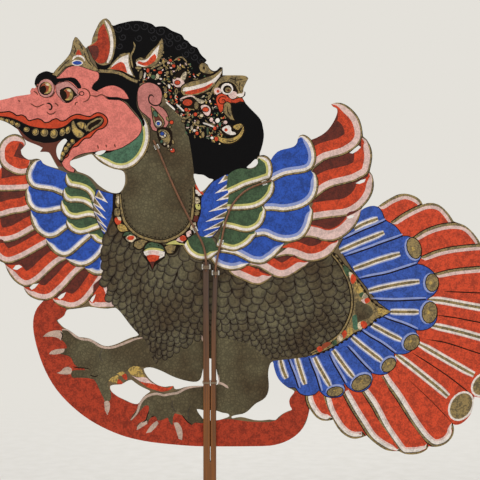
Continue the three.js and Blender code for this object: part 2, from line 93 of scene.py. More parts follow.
class PuppetPaints(bpy.types.PropertyGroup):
    """The colours of the paints."""

    red: colour_choice("Red lead", "Middle band of the wing feathers", "#bb3d1a")
    maroon: colour_choice("Dark lac", "Shaded part of the wing feathers", "#581f12")
    tail_red: colour_choice("Tail red", "Long feathers of the tail", "#be4020")
    ground_red: colour_choice("Ground red", "The crescent under the feet", "#9d341c")
    pink: colour_choice("Pale pink", "Pale band of the wing feathers", "#d3b4ab")
    skin: colour_choice("Salmon", "The bird's face", "#d07266")
    ear: colour_choice("Ear pink", "The bird's ear", "#b46f67")
    lid: colour_choice("Lid pink", "The rings round the eyes", "#ba8179")
    lip: colour_choice("Lip red", "The bird's lips", "#b83c1b")
    white: colour_choice("Bone white", "White edges and claws", "#dcd1c7")
    cream: colour_choice("Cream", "Small ornaments", "#bdab8c")
    gold: colour_choice("Bronze powder", "Edges and ornaments", "#7d683a")
    bright_gold: colour_choice("Pale bronze", "Teeth and spots", "#a5873f")
    amber: colour_choice("Amber", "The middle of the eyes", "#8a3c1e")
    blue: colour_choice("Indigo blue", "Wing feathers", "#22479c")
    tail_blue: colour_choice("Tail blue", "Short feathers of the tail", "#2e4d9c")
    pale_blue: colour_choice("Pale blue", "Inner edge of the blue feathers", "#8792c0")
    green: colour_choice("Verdigris", "Inner wing feathers", "#394f34")
    chin_green: colour_choice("Chin green", "The crescent under the chin", "#42644c")
    yellow: colour_choice("Orpiment", "Inner edge of the green feathers", "#bab367")
    olive: colour_choice("Olive", "Neck and limbs", "#625a41")
    scale: colour_choice("Scale olive", "Edge of each scale", "#50493a")
    light_olive: colour_choice("Light olive", "Middle of each scale", "#615a42")
    claw: colour_choice("Claw grey", "Claws and shin lines", "#b59c8c")
    black: colour_choice("Lamp black", "Hair and brows", "#0a090a")
    curl_grey: colour_choice("Curl grey", "Curls on the hair", "#262527")
    ink: colour_choice("Brown ink", "Lines between the paints", "#1c130c")
    brown: colour_choice("Dark brown", "Tongue and lower jaw", "#592614")


class PuppetSizes(bpy.types.PropertyGroup):
    """The sizes that shape the paint and the view."""

    coat: FloatProperty(
        name="Coat", description="Thickness of one coat of paint", default=0.000025, unit="LENGTH"
    )
    lens: FloatProperty(
        name="Lens", description="Focal length of the camera in millimetres", default=85, unit="CAMERA"
    )


def paints():
    """The paint colours of this scene."""
    return bpy.context.scene.puppet_paints


def sizes():
    """The sizes of this scene."""
    return bpy.context.scene.puppet_sizes


# Edges and lines, in layout squares

CURVE_STEPS = 4  # pieces of a curve between two of its points
OVAL_CORNERS, GEM_CORNERS, DAB_CORNERS, FLECK_CORNERS = 18, 14, 10, 8
BRUSH_END = 0.15  # the share of a brush line in which it gains or loses its width
THIN_TAPER, WIDE_TAPER = 0.18, 0.1  # the share of a feather in which a band leaves its tip
LINE_CLEAR, EDGE_CLEAR = 0.97, 0.95  # shares of its move that a spot must keep from the whole path


def spots(text):
    """The points of one stretch, written as column,row pairs."""
    return [Vector([float(number) for number in pair.split(",")]) for pair in text.split()]


def smooth(points, closed=False):
    """A centripetal spline through the points."""
    count = len(points)
    path = []
    for i in range(count if closed else count - 1):
        if closed:
            before, start, end, after = (points[(i + k) % count] for k in (-1, 0, 1, 2))
        else:
            start, end = points[i], points[i + 1]
            before = points[i - 1] if i else start * 2 - end
            after = points[i + 2] if i + 2 < count else end * 2 - start
        lead, gap, trail = (
            max((b - a).length, TOUCH) ** 0.5 for a, b in ((before, start), (start, end), (end, after))
        )
        leave = ((start - before) / lead - (end - before) / (lead + gap) + (end - start) / gap) * gap
        arrive = ((end - start) / gap - (after - start) / (gap + trail) + (after - end) / trail) * gap
        for step in range(CURVE_STEPS):
            t = step / CURVE_STEPS
            path.append(
                (2 * t**3 - 3 * t**2 + 1) * start
                + (t**3 - 2 * t**2 + t) * leave
                + (3 * t**2 - 2 * t**3) * end
                + (t**3 - t**2) * arrive
            )
    if not closed:
        path.append(points[-1])
    return path


def line(text):
    """An open smooth line."""
    return smooth(spots(text))


def loop(text):
    """A closed edge. Stretches parted by a bar are smooth and meet in corners."""
    stretches = [spots(stretch) for stretch in text.split("|")]
    if len(stretches) == 1:
        return smooth(stretches[0], closed=True)
    return [spot for stretch in stretches for spot in smooth(stretch)]


def axes(tilt):
    """The directions across and down, turned by tilt degrees."""
    turn = math.radians(tilt)
    return Vector((math.cos(turn), math.sin(turn))), Vector((-math.sin(turn), math.cos(turn)))


def oval(column, row, across, down, tilt=0.0, corners=OVAL_CORNERS):
    """An oval with its half widths, turned by tilt degrees."""
    side, fall = axes(tilt)
    angles = [2 * math.pi * i / corners for i in range(corners)]
    return [Vector((column, row)) + side * across * math.cos(a) + fall * down * math.sin(a) for a in angles]


def shares(path):
    """How far along its path each point lies, from 0 to 1."""
    total = [0.0]
    for a, b in zip(path, path[1:]):
        total.append(total[-1] + (b - a).length)
    return [t / total[-1] for t in total]


def beside(path, i):
    """The direction square to the path at one of its points."""
    heading = (path[min(i + 1, len(path) - 1)] - path[max(i - 1, 0)]).normalized()
    return Vector((-heading.y, heading.x))


def shifted(path, width):
    """The path moved sideways by width."""
    return [path[i] + beside(path, i) * width for i in range(len(path))]


def stroke(path, width, start=1.0, end=1.0):
    """A brush line along a path; start and end are the shares of its width there."""
    left, right = [], []
    for i, share in enumerate(shares(path)):
        opening, closing = min(share / BRUSH_END, 1.0), min((1 - share) / BRUSH_END, 1.0)
        reach = width / 2 * (start + (1 - start) * opening) * (end + (1 - end) * closing)
        left.append(path[i] + beside(path, i) * reach)
        right.append(path[i] - beside(path, i) * reach)
    return left + right[::-1]


def moved_in(path, width, side, taper):
    """The path moved sideways, starting from its own first point."""
    inner = []
    for i, share in enumerate(shares(path)):
        reach = width * math.sin(min(share / taper, 1.0) * math.pi / 2)
        moved = path[i] + beside(path, i) * side * reach
        if min((moved - other).length for other in path) > LINE_CLEAR * reach - TOUCH:
            inner.append(moved)
    return inner


def area(path):
    """The signed area inside a closed path."""
    return sum(a.x * b.y - b.x * a.y for a, b in zip(path, path[1:] + path[:1])) / 2


def shrunk(path, width):
    """A closed path drawn in by width all round."""
    side = 1 if area(path) > 0 else -1
    inner = []
    for i, spot in enumerate(path):
        heading = (path[(i + 1) % len(path)] - path[i - 1]).normalized()
        moved = spot + Vector((-heading.y, heading.x)) * side * width
        if min((moved - other).length for other in path) > EDGE_CLEAR * width:
            inner.append(moved)
    return inner


def covers(edge, x, y):
    """Whether a closed edge winds round a point."""
    turns = 0
    for a, b in zip(edge, edge[1:] + edge[:1]):
        if (a.y > y) != (b.y > y) and x < (b.x - a.x) * (y - a.y) / (b.y - a.y) + a.x:
            turns += 1 if b.y > a.y else -1
    return turns != 0


def welded(mesh):
    """For each corner of a mesh, the number of the first corner at its place."""
    tree = KDTree(len(mesh.vertices))
    for number, corner in enumerate(mesh.vertices):
        tree.insert(corner.co, number)
    tree.balance()
    return [min(number for _, number, _ in tree.find_range(corner.co, WELD)) for corner in mesh.vertices]


def hide_edges():
    """The closed edges of the hide's front face, outer edge first."""
    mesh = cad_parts["hide_figure"].data
    numbers = welded(mesh)
    follow = {}
    for polygon in mesh.polygons:
        if all(mesh.vertices[i].co.y < HIDE_LOW.y + IN_FACE for i in polygon.vertices):
            ring = [numbers[i] for i in polygon.vertices]
            for a, b in zip(ring, ring[1:] + ring[:1]):
                if a in follow.get(b, ()):
                    follow[b].remove(a)
                else:
                    follow.setdefault(a, []).append(b)
    edges = []
    for first in list(follow):
        while follow[first]:
            here, edge = first, []
            while follow.get(here):
                across, _, up = (round(c / WELD) * WELD for c in mesh.vertices[here].co)
                edge.append(Vector((across / SQUARE + ROD_COLUMN, LOWEST_ROW - (up - HIDE_LOW.z) / SQUARE)))
                here = follow[here].pop()
            edges.append(edge)
    return sorted(edges, key=lambda edge: -abs(area(edge)))


HIDE_EDGES = hide_edges()
CELL = 8  # squares; the side of a cell in which shapes are looked up
# How many coats the outer face of each piece lies above the hide. Two pieces
# that meet never share a level.
LEVELS = {
    "ground_crescent": 1, "hair": 1,
    "tail_red_feathers": 2, "far_wing_feathers": 2,
    "tail_blue_feathers": 3, "far_wing_root": 3,
    "body_paint": 4,
    "body_scales": 5, "chin_crescent": 5,
    "legs_and_feet": 6, "tail_root_band": 6, "near_wing_root": 6,
    "near_wing_feathers": 7,
    "necklace": 8, "face": 8,
    "mouth": 9, "crown": 9,
    "ear": 10,
}


def new_piece(name, vertices, faces):
    """A mesh object with the given name, put into the scene."""
    mesh = bpy.data.meshes.new(name)
    mesh.from_pydata(vertices, [], faces)
    piece = bpy.data.objects.new(name, mesh)
    bpy.context.scene.collection.objects.link(piece)
    return piece


class Coat:
    """One coat of paint on both faces of the hide, cut to the hide's own edges.

    A shape covers the ones before it, so that each spot has one paint.
    """

    def __init__(self, name):
        self.name = name
        self.shapes = []

    def fill(self, paint, edge):
        """Lays one paint inside a closed edge."""
        if len(edge) > 2:
            self.shapes.append((paint, edge))

    def bands(self, edge, *widths):
        """Lays nested paints, each drawn in by its width."""
        for paint, width in widths:
            self.fill(paint, shrunk(edge, width) if width else edge)

    def outlined(self, paint, text, rim=0.6):
        """Lays one paint inside a thin rim of ink."""
        self.bands(loop(text), ("ink", 0), (paint, rim))

    def ribbon(self, path, *strokes, start, end):
        """Lays brush lines of several paints and widths one over another.

        Start and end are the shares of each width at the path's two ends.
        """
        for paint, width in strokes:
            self.fill(paint, stroke(path, width, start, end))

    def dashes(self, path, width):
        """Lays an ink dash on every second piece of a path."""
        for i in range(0, len(path) - 1, 2):
            self.fill("ink", stroke(path[i : i + 2], width))

    def lines(self, paint, width, *texts, ends=0.4):
        """Lays thin brush lines."""
        for text in texts:
            self.fill(paint, stroke(line(text), width, ends, ends))

    def leaves(self, *rows):
        """Lays closed shapes, each row a paint and its edges."""
        for paint, *texts in rows:
            for text in texts:
                self.fill(paint, loop(text))

    def gems(self, rim, *rows):
        """Lays ovals as paint, column, row, half widths and tilt, each with an ink rim."""
        for paint, column, row, across, down, tilt in rows:
            if rim:
                self.fill("ink", oval(column, row, across + rim, down + rim, tilt, GEM_CORNERS))
            self.fill(paint, oval(column, row, across, down, tilt, GEM_CORNERS))

    def dots(self, size, text):
        """Lays round dabs of ink."""
        for spot in spots(text):
            self.fill("ink", oval(spot.x, spot.y, size, size, corners=DAB_CORNERS))

    def top_paint(self, cells, x, y):
        """The paint of the topmost shape at a point."""
        for number in reversed(cells.get((x // CELL, y // CELL), ())):
            paint, edge = self.shapes[number]
            if covers(edge, x, y):
                return paint
        return None

    def cut(self):
        """The coat's triangles as (corner numbers, paint), and its points.

        The first cut follows every shape. The second one follows only the
        borders between paints, so that covered edges leave no corners.
        """
        points, edges, cells = [], [], {}
        for number, (_, edge) in enumerate(self.shapes):
            first, count = len(points), len(edge)
            points += edge
            edges += [(first + i, first + (i + 1) % count) for i in range(count)]
            columns, rows = [spot.x for spot in edge], [spot.y for spot in edge]
            for column in range(int(min(columns) // CELL), int(max(columns) // CELL) + 1):
                for row in range(int(min(rows) // CELL), int(max(rows) // CELL) + 1):
                    cells.setdefault((column, row), []).append(number)
        triangles, points = self.part(points, edges, cells)
        sides = {}
        for (a, b, c), paint in triangles:
            sides.update({(a, b): paint, (b, c): paint, (c, a): paint})
        borders = [(a, b) for (a, b), paint in sides.items() if sides.get((b, a)) != paint]
        used = sorted({i for border in borders for i in border})
        number = {old: new for new, old in enumerate(used)}
        return self.part([points[i] for i in used], [(number[a], number[b]) for a, b in borders], cells)

    def part(self, points, edges, cells):
        """Triangles inside the hide along the given edges, each with its topmost paint."""
        points, faces = list(points), []
        for edge in HIDE_EDGES:
            faces.append(list(range(len(points), len(points) + len(edge))))
            if area(edge) < 0:
                faces[-1].reverse()
            points += edge
        points, _, pieces, _, _, owners = delaunay_2d_cdt(points, edges, faces, 1, TOUCH)
        triangles = []
        for corners, owner in zip(pieces, owners):
            if set(owner) == {0}:
                x = sum(points[i].x for i in corners) / 3
                y = sum(points[i].y for i in corners) / 3
                paint = self.top_paint(cells, x, y)
                if paint:
                    turned = area([points[i] for i in corners]) > 0
                    triangles.append((tuple(reversed(corners)) if turned else tuple(corners), paint))
        return triangles, points

    def make(self):
        """The finished piece: a thin closed skin on each face of the hide."""
        triangles, points = self.cut()
        used = sorted({i for corners, _ in triangles for i in corners})
        number = {old: new for new, old in enumerate(used)}
        count = len(used)
        names = sorted({paint for _, paint in triangles})
        coat = sizes().coat
        outer, inner = HIDE_HALF + LEVELS[self.name] * coat, HIDE_HALF - coat / 2
        vertices = []
        for depth in (-outer, -inner, outer, inner):
            for x, z in (in_room(*points[old]) for old in used):
                vertices.append((x, depth, z))
        faces, slots, rims = [], [], {}
        for corners, paint in triangles:
            a, b, c = (number[i] for i in corners)
            faces += [(a, b, c), (c + count, b + count, a + count)]
            faces += [tuple(i + 2 * count for i in (c, b, a)), tuple(i + 3 * count for i in (a, b, c))]
            slots += [names.index(paint)] * 4
            rims.update({(a, b): paint, (b, c): paint, (c, a): paint})
        for (a, b), paint in rims.items():
            if (b, a) not in rims:
                faces += [(b, a, a + count, b + count)]
                faces += [(a + 2 * count, b + 2 * count, b + 3 * count, a + 3 * count)]
                slots += [names.index(paint)] * 2
        piece = new_piece(self.name, vertices, faces)
        for name in names:
            piece.data.materials.append(paint_material(name))
        piece.data.polygons.foreach_set("material_index", slots)
        piece.data.update()
        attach(piece, "root")


# Materials

# Sizes in metres. The grain and the pebbles are drawn coarser than the real
# ones, so that they can be seen from as far off as the whole puppet.
BLOTCH = 0.010  # a patch where the brush left more paint
GRAIN = 0.0018  # a grain of the brushed paint
PEBBLE = 0.0048  # a pebble of the stippled skin
AGED_PATCH = 0.055  # a place where hands and smoke browned the body's paints
AGED = ("olive", "scale", "light_olive")
AGED_TINT = "#bfab9f"
AGED_LOW, AGED_HIGH = 0.37, 0.66  # the clouds' values between which a place turns brown
BOTH_MIDDLE = 1.01  # the middle of the blotches and grain added up
GROOVE_LOW, GROOVE_HIGH = 0.02, 0.16  # from the bottom to the brim of a groove between pebbles
GROOVE_PAINTED_SHADE = 0.38  # how much darker a groove between pebbles is, as a share: painted shade
RELIEF = 0.4  # how strongly the raised marks show, where 1 is their full depth
PAINT_DEPTH, FIBRE_DEPTH = 0.0002, 0.0003  # how deep brush marks and fibres look
STREAK_LOW, STREAK_HIGH = 0.35, 0.68  # the clouds' values between which a streak's colours change
ROD_LOW_ROW, ROD_HIGH_ROW = 420, 300  # between these the rod's colours give way to the upper ones
# How many ever finer clouds lie in the clouds of each kind
BLOTCH_DETAIL, GRAIN_DETAIL, AGED_DETAIL, STREAK_DETAIL, PAPER_DETAIL = 5.0, 3.0, 2.0, 4.0, 2.0
BLOTCH_RAGGEDNESS = 0.6  # how strongly the finer clouds show in a blotch


class Lay(NamedTuple):
    """How a kind of paint lies."""

    roughness: float
    contrast: float  # how uneven its colour is
    spread: float  # how softly its flecks are edged
    gloss: float  # the share of a smooth surface's gloss that its pores leave
    paints: tuple  # the paints that lie so


LAYS = {
    # Bronze powder in glue: a dull gold, mottled where the powder lies thin
    "bronze_paint": Lay(0.42, 0.55, 0.09, 0.5, ("gold", "bright_gold", "cream")),
    # Dabbed on with a stiff brush: a matt skin of pebbles, with painted shade in the grooves between them
    "stippled_paint": Lay(0.72, 0.3, 0.2, 0.2, ("olive",)),
    # Earth colours in little glue, rubbed by hands: matt and cloudy
    "rubbed_paint": Lay(0.66, 0.4, 0.15, 0.2, ("ground_red", "scale", "light_olive")),
    # Pale paint in several coats: even, with faint stains
    "worn_paint": Lay(0.62, 0.24, 0.16, 0.2, ("skin", "ear", "lid", "lip", "pink", "white", "claw")),
    # One strong coat on the feathers: dark flecks where the hide shows through
    "streaky_paint": Lay(
        0.6, 0.38, 0.14, 0.25, ("red", "maroon", "tail_red", "blue", "tail_blue", "green", "chin_green")
    ),
    # Lamp soot in glue: deep black with hardly any gloss
    "soot_paint": Lay(0.8, 0.1, 0.2, 0.08, ("black", "curl_grey", "ink")),
    # Any other colour in hide glue: matt, a little uneven
    "glue_paint": Lay(0.6, 0.16, 0.2, 0.25, ()),
}


def add_node(tree, kind, settings=None, **links):
    """Adds one shader node with its settings, input values and links.

    An input is given by its name, or by n and its number.
    """
    node = tree.nodes.new(kind)
    for key, value in (settings or {}).items():
        setattr(node, key, value)
    for key, value in links.items():
        socket = node.inputs[int(key[1:]) if key[1:].isdigit() else key.replace("_", " ")]
        if isinstance(value, bpy.types.NodeSocket):
            tree.links.new(value, socket)
        else:
            socket.default_value = value
    return node


def new_material(name):
    """An empty material, its tree and the place of each point."""
    material = bpy.data.materials.new(name)
    material.use_nodes = True
    tree = material.node_tree
    tree.nodes.clear()
    return material, tree, add_node(tree, "ShaderNodeNewGeometry").outputs["Position"]


def noise(tree, place, size, detail, **values):
    """Clouds of the given size in metres."""
    node = add_node(tree, "ShaderNodeTexNoise", Vector=place, Scale=1 / size, Detail=detail, **values)
    return node.outputs["Fac"]


def ranged(tree, value, low, high, **settings):
    """How far the value lies from low to high, from 0 to 1."""
    return add_node(tree, "ShaderNodeMapRange", settings, n0=value, n1=low, n2=high).outputs[0]


def mixed(tree, share, first, second, **settings):
    """The first colour, giving way to the second one by share."""
    settings = {"data_type": "RGBA", **settings}
    return add_node(tree, "ShaderNodeMix", settings, n0=share, n6=first, n7=second).outputs[2]


def finish_material(tree, colour, height, depth, **values):
    """Puts the bump and the last shader on a material's tree."""
    bump = add_node(tree, "ShaderNodeBump", Height=height, Strength=RELIEF, Distance=depth)
    shader = add_node(tree, "ShaderNodeBsdfPrincipled", Base_Color=colour, Normal=bump.outputs[0], **values)
    add_node(tree, "ShaderNodeOutputMaterial", Surface=shader.outputs["BSDF"])


def shaded(colour, share):
    """The colour, darker by share, or lighter where share is below 0."""
    return (*(channel * (1 - share) for channel in colour[:3]), 1.0)


def paint_material(name):
    """Hide glue and pigment, brushed on: matt, uneven where it is thin."""
    kind = next((kind for kind, lay in LAYS.items() if name in lay.paints), "glue_paint")
    full_name = f"{kind}_{name}"
    if full_name in bpy.data.materials:
        return bpy.data.materials[full_name]
    lay = LAYS[kind]
    colour = tuple(getattr(paints(), name))
    material, tree, place = new_material(full_name)
    cloud = noise(tree, place, BLOTCH, BLOTCH_DETAIL, Roughness=BLOTCH_RAGGEDNESS)
    grain = noise(tree, place, GRAIN, GRAIN_DETAIL)
    height = add_node(tree, "ShaderNodeMath", n0=cloud, n1=grain).outputs[0]
    share = ranged(tree, height, BOTH_MIDDLE - lay.spread, BOTH_MIDDLE + lay.spread)
    result = mixed(tree, share, shaded(colour, -lay.contrast / 2), shaded(colour, lay.contrast))
    if kind == "stippled_paint":
        # Painted shade: the grooves between the pebbles are darkened as well as sunk by the bump
        cells = add_node(
            tree, "ShaderNodeTexVoronoi", {"feature": "DISTANCE_TO_EDGE"}, Vector=place, Scale=1 / PEBBLE
        )
        height = ranged(tree, cells.outputs["Distance"], GROOVE_LOW, GROOVE_HIGH)
        result = mixed(tree, height, shaded(colour, GROOVE_PAINTED_SHADE), result)
    if name in AGED:
        aged = ranged(tree, noise(tree, place, AGED_PATCH, AGED_DETAIL), AGED_LOW, AGED_HIGH)
        result = mixed(tree, aged, result, linear(AGED_TINT), blend_type="MULTIPLY")
    finish_material(
        tree, result, height, PAINT_DEPTH, Roughness=lay.roughness, Specular_IOR_Level=lay.gloss
    )
    return material


def streaked_material(name, colours, streak_size, roughness, upper_colours=None):
    """Two colours in streaks of a size in metres each way, and others higher up where they are given."""
    material, tree, place = new_material(name)
    scaled = add_node(tree, "ShaderNodeMapping", Vector=place, Scale=[1 / size for size in streak_size])
    streak = noise(tree, scaled.outputs[0], 1.0, STREAK_DETAIL)
    share = ranged(tree, streak, STREAK_LOW, STREAK_HIGH)
    result = mixed(tree, share, *(linear(colour) for colour in colours))
    if upper_colours:
        low, high = (in_room(0, row)[1] for row in (ROD_LOW_ROW, ROD_HIGH_ROW))
        upper = mixed(tree, share, *(linear(colour) for colour in upper_colours))
        lift = ranged(tree, add_node(tree, "ShaderNodeSeparateXYZ", Vector=place).outputs["Z"], low, high)
        result = mixed(tree, lift, result, upper)
    finish_material(tree, result, streak, FIBRE_DEPTH, Roughness=roughness)
    return material


def scraped_rawhide():
    """Hide dried on a frame and scraped: a dull brown sheet, cloudy where it is thicker."""
    return streaked_material(
        "scraped_rawhide", colours=("#6b5733", "#45361f"), streak_size=(0.02, 0.02, 0.02), roughness=0.6
    )


def oiled_bamboo():
    """Bamboo split, planed and oiled: long fibres under a soft gloss, darker where smoke reached it."""
    return streaked_material(
        "oiled_bamboo", colours=("#824a0e", "#5a3209"), streak_size=(0.0022, 0.0022, 0.11),
        roughness=0.45, upper_colours=("#4f3522", "#372315"),
    )


def split_cane():
    """Cane split thin: fine fibres along it and a faint gloss."""
    return streaked_material(
        "split_cane", colours=("#7c4d2a", "#54331c"), streak_size=(0.0012, 0.0012, 0.05), roughness=0.5
    )


def cotton_thread():
    """Twisted cotton, greyed by use: rough and without gloss."""
    return streaked_material(
        "cotton_thread", colours=("#a08c72", "#75624c"), streak_size=(0.0011, 0.0011, 0.0011),
        roughness=0.85,
    )


# Feathers

WIDE_BAND = 12  # squares from the edge; bands from here on leave the tip sooner
EDGE = (("ink", 0), ("gold", 0.6))
RED_BANDS = (*EDGE, ("pink", 2.2), ("red", 8), ("maroon", 18))
PINK_BANDS = (*EDGE, ("pink", 2.2), ("red", 11.4), ("maroon", 12.8))
LOW_RED_BANDS = (*EDGE, ("pink", 2.2), ("red", 8.4), ("maroon", 16))
FAR_RED_BANDS = (("ink", 0), ("gold", 0.5), ("pink", 2), ("red", 6.6), ("maroon", 15.4))
BLUE_BANDS = (*EDGE, ("white", 2.2), ("pale_blue", 5), ("blue", 8))
FAR_BLUE_BANDS = (*EDGE, ("white", 2.6), ("pale_blue", 5.4), ("blue", 6.6))
GREEN_BANDS = (*EDGE, ("white", 2.1), ("yellow", 4.6), ("green", 6.8))
CHIN_BANDS = (*EDGE, ("white", 2.2), ("yellow", 5.2), ("chin_green", 7.2))

# Each row of feathers is its bands, the edge above it, and its own edges from
# the top feather down. The two wings' panels have a row of teeth each.
THIRD_RED = (
    "368.5,172.8 372.3,175.3 373.8,182 373.3,190 370.6,197 366.6,203 362.4,207.4 357,211.5 351,214.8"
    " 344,216.8 336,217.8 328,218.6 320,219.8 310,221.4"
)
FOURTH_RED = (
    "361,209 360.5,213 359,219 356,225 351,231 345,236 338,239.8 331,241.6 323,241.3 315,238.7 308,237.6"
    " 300,238.6"
)
NEAR_ROWS = (
    (
        RED_BANDS,
        "331.2,104.2 333.4,106.8 336.8,108.4 337.4,112 335.7,117.5 332.6,123.4 328,129.8 322,134.8 316,138"
        " 308,142",
        (
            "331.2,104.2 336,102.8 341.3,103.1 347.3,105.8 352.3,109.8 356.3,114.3 359.4,119.4 361.4,125.4"
            " 362.5,131.4 362.3,137.5 360,143 356,147.6 351,151.2 345,154.6 338,157 331,158.8 325,160.8"
            " 319,165 313,170",
            "361,137.4 366.8,139.8 370,145.3 372,152 372.1,159 370.9,166 369,172 366,175.5 361,178.5"
            " 355,181.5 348,183.6 340,185.5 333,187.3 327,190 322,193.5 315,199",
            THIRD_RED,
        ),
    ),
    (PINK_BANDS, THIRD_RED, (FOURTH_RED,)),
    (
        LOW_RED_BANDS, FOURTH_RED,
        (
            "338,240 338.5,243 336,248.5 333,253 328,257 321,260.3 313,262 305,261.5 297,258.5 290,256.2"
            " 284,256.3 276,258.5",
            "309,261.7 306,266 300,270.5 294,274.5 288,277.5 281,278.5 274,277 267,273 262,270 256,267.5"
            " 248,266",
            "272,275.5 270,279 265,283 259,285.2 252,284.5 245,281.5 238,278.5 232,275.5 227,270",
        ),
    ),
    (
        BLUE_BANDS,
        "297.7,139.4 297,143 294,146.4 289,148.2 283,149.5 277.5,151.8 273,156.4 269,162",
        (
            "297.7,139.4 299.4,135.8 303,134.6 307.6,136.4 311.2,139.8 313.8,145 315.8,151.5 316.4,158"
            " 315.2,164 312,169.3 307,172.3 300,174 292,175 285,176.5 278,179.5 271,184",
            "311,171 315,173 317.5,177 318.6,183 318,190 315.5,197 311,202.8 305,207 298,209.8 290,211.6"
            " 282,212.4 274,211.4 264,211.5",
            "309,205.6 313,210 313,217 311.5,224 309,230 305,236 300,240 293,242.4 285,243 277,241.8"
            " 270,239 264,236.5 254,238",
            "284,243 283,246 280,251 276,256 270,260.5 264,264 257,264.5 250,263 243,259.5 236,256"
            " 229,254.3 220,253",
            "249,263 245,267.5 239,270 232,271 225,270 219,268 214,265 210,259",
        ),
    ),
    (
        GREEN_BANDS,
        "212,238 206,237 200,236 194,235 186,237",
        ("219,250 216,255 211,259 205,260.8 198,260.2 192,257.6 187,253.4 183,247 181,241",),
    ),
    (
        GREEN_BANDS,
        "257.6,161 257,165 254,168 248,169 241,168.5 234,170.5 228,175",
        (
            "257.6,161 256.8,158 258.5,155.8 262,155.2 266.5,156.2 270,159 272,163.5 273,169 272.4,175"
            " 270.5,179 265,181 258,183.5 251,185.5 244,188 238,191 229,195",
            "269.4,179.2 273.8,181.5 275,187 273.8,193 270,199 265,204 259,207.5 252,209.8 245,210.6"
            " 238,211 227,211",
            "262,206 265.5,209 266.3,214 264.5,221 260.5,227 254.5,231 248,232.8 241,232.3 234,230.3"
            " 222,228",
            "255,230.8 256.8,234 253.5,240 248,245.5 241,249.5 234,251.5 227,250.5 216,247",
        ),
    ),
)
FAR_ROWS = (
    (
        FAR_RED_BANDS,
        "24.6,146 21.6,149.8 21.6,154 24.8,157.6 30,160.4",
        (
            "24.6,146 25.4,142 22.6,137.4 17,134.4 10,135 5,137.8 1,142.2 -1.4,148 -1.8,155 -0.6,162"
            " 3.4,167.6 9,171.6 15,174.4 22,175.6 29,174.5",
            "1.8,167.4 -5,169.8 -10.6,174.6 -13.6,181 -13.2,187.8 -8,191 0,191.6 12,191.6 24,191 31,190",
            "-13.2,189.6 -15,195 -15.4,202 -13.8,209 -9.5,215 -4,218 2,217.8 12,214.8 24,212.8 34,209",
            "-13.6,210.6 -15,217.5 -14.6,225 -12.4,232 -8,238.5 -2,242.4 4,243 11,242 18,239.8 26,235.6"
            " 34,231 44,227",
            "-11.8,234 -12,240.6 -10.6,247 -7,254 -1.6,260 4,263 10,263.6 17,261.6 26,257.6 36,252"
            " 46,246.4 54,242",
            "5.4,264.6 6.8,269 9.8,274.8 14,280.4 19,284.4 24,286.8 30,286.4 36,283.6 43,278.4 51,270.6"
            " 59,264 70,258",
            "23.8,286.8 24.6,289.6 28.2,294.8 33.6,298.3 39,300.2 45,300.8 52,299 59,293.6 67,286 75,276.8"
            " 84,269 92,265",
            "52.6,298 54,301.5 58,305 65,308 72,309 79,307.4 86,303 92,296.4 98,288 104,279 108,272",
            "88.8,300.6 89.4,304.6 92,307.4 98,308.8 106,308.6 115,307.6 116,303 112,292 108,280",
        ),
    ),
    (
        FAR_BLUE_BANDS,
        "41,160 43.5,164 49,166.5 56,169 62,171 72,175",
        (
            "41,160 36,159.6 31,162.5 27.8,167 26,172 26,178 28,183.5 32,188 38,190 45,191 52,192.2"
            " 58,194.5 70,200",
            "28.6,186.6 26,190 25,196 26,202 29,207.5 33.5,211.5 39,213.5 46,214 53,213 60,211.5 72,211",
            "31,210.8 30,216 31,222 33.5,228 37.5,233 43,237 49,238.8 55,238 60,235.5 65,231.5 74,226",
            "46,238.6 46.5,243 50,249 55,254 61,257 66,257.3 72,255 78,250 84,244.5 90,239.5 96,234",
            "66,258.6 70.7,264 76,266.5 82,267.2 88,266 94,262.5 99,258 104,252 107,246",
            "85.5,268.5 88,272 93,275 98,276 103,275 106,270 107,262",
        ),
    ),
    (
        GREEN_BANDS,
        "66.6,173.6 73,173 80,174 86.5,176.6 91.5,181.5 96,188 98.5,194",
        (
            "66.6,173.6 65,178 65.4,183 68.5,187 74,188.4 80,189.6 85.5,192 89.4,196.5 91.5,203 94,209",
            "64.5,188.5 62.4,192.5 62.4,197 65.5,201.2 70.5,203.2 77,203 83.5,204.2 89,207.5 95,213",
            "62,200 60.4,204.5 61,210 64.5,215.5 70,219 77,219.8 84,218.4 90,217.4 98,220",
            "66.6,219.6 66,224 68,229 73,233 80,235 87,234 94,231.4 102,228.6",
            "89.6,234 91.5,238 96,242.4 101,244.4 107,246",
        ),
    ),
)
NEAR_PANEL = (
    "222,176 228,174 232.4,176 | 231,183 233.4,190 232,200 229,210 224,220 220,228 214,236 | 206,240.6"
    " 199,240 197.6,232 197,222 199,210 201,198 206,190 212,182"
)
NEAR_TEETH = (
    "218,184 225,175 232.4,178", "214.6,193.6 231.6,181 232.6,189", "216,201 232.6,190 232.4,198",
    "208,212 231.6,200 229.6,208", "205,222 228.6,210 225,218", "203,231 224,220 219.6,227",
    "201,238 218.6,229 212.6,236",
)
FAR_PANEL = (
    "96,189 100,190 106,192 114.6,193.8 | 115.6,200 113.8,208 112,216 114,222 117,229 119,234 | 113,237"
    " 108,240 104,235 100,228 96.5,220 93.5,211 93.5,202"
)
FAR_TEETH = (
    "108,203 99,190 95,197", "106,212 94.6,197 93.4,204", "107,220 93.4,204 94,212",
    "108,229 94.4,212 97.6,221", "111,237 98,221 101.6,230",
)
TOOTH_TIP, TOOTH_SIDE = 0.42, 0.24  # how far a tooth's gold core keeps from its corners, as shares


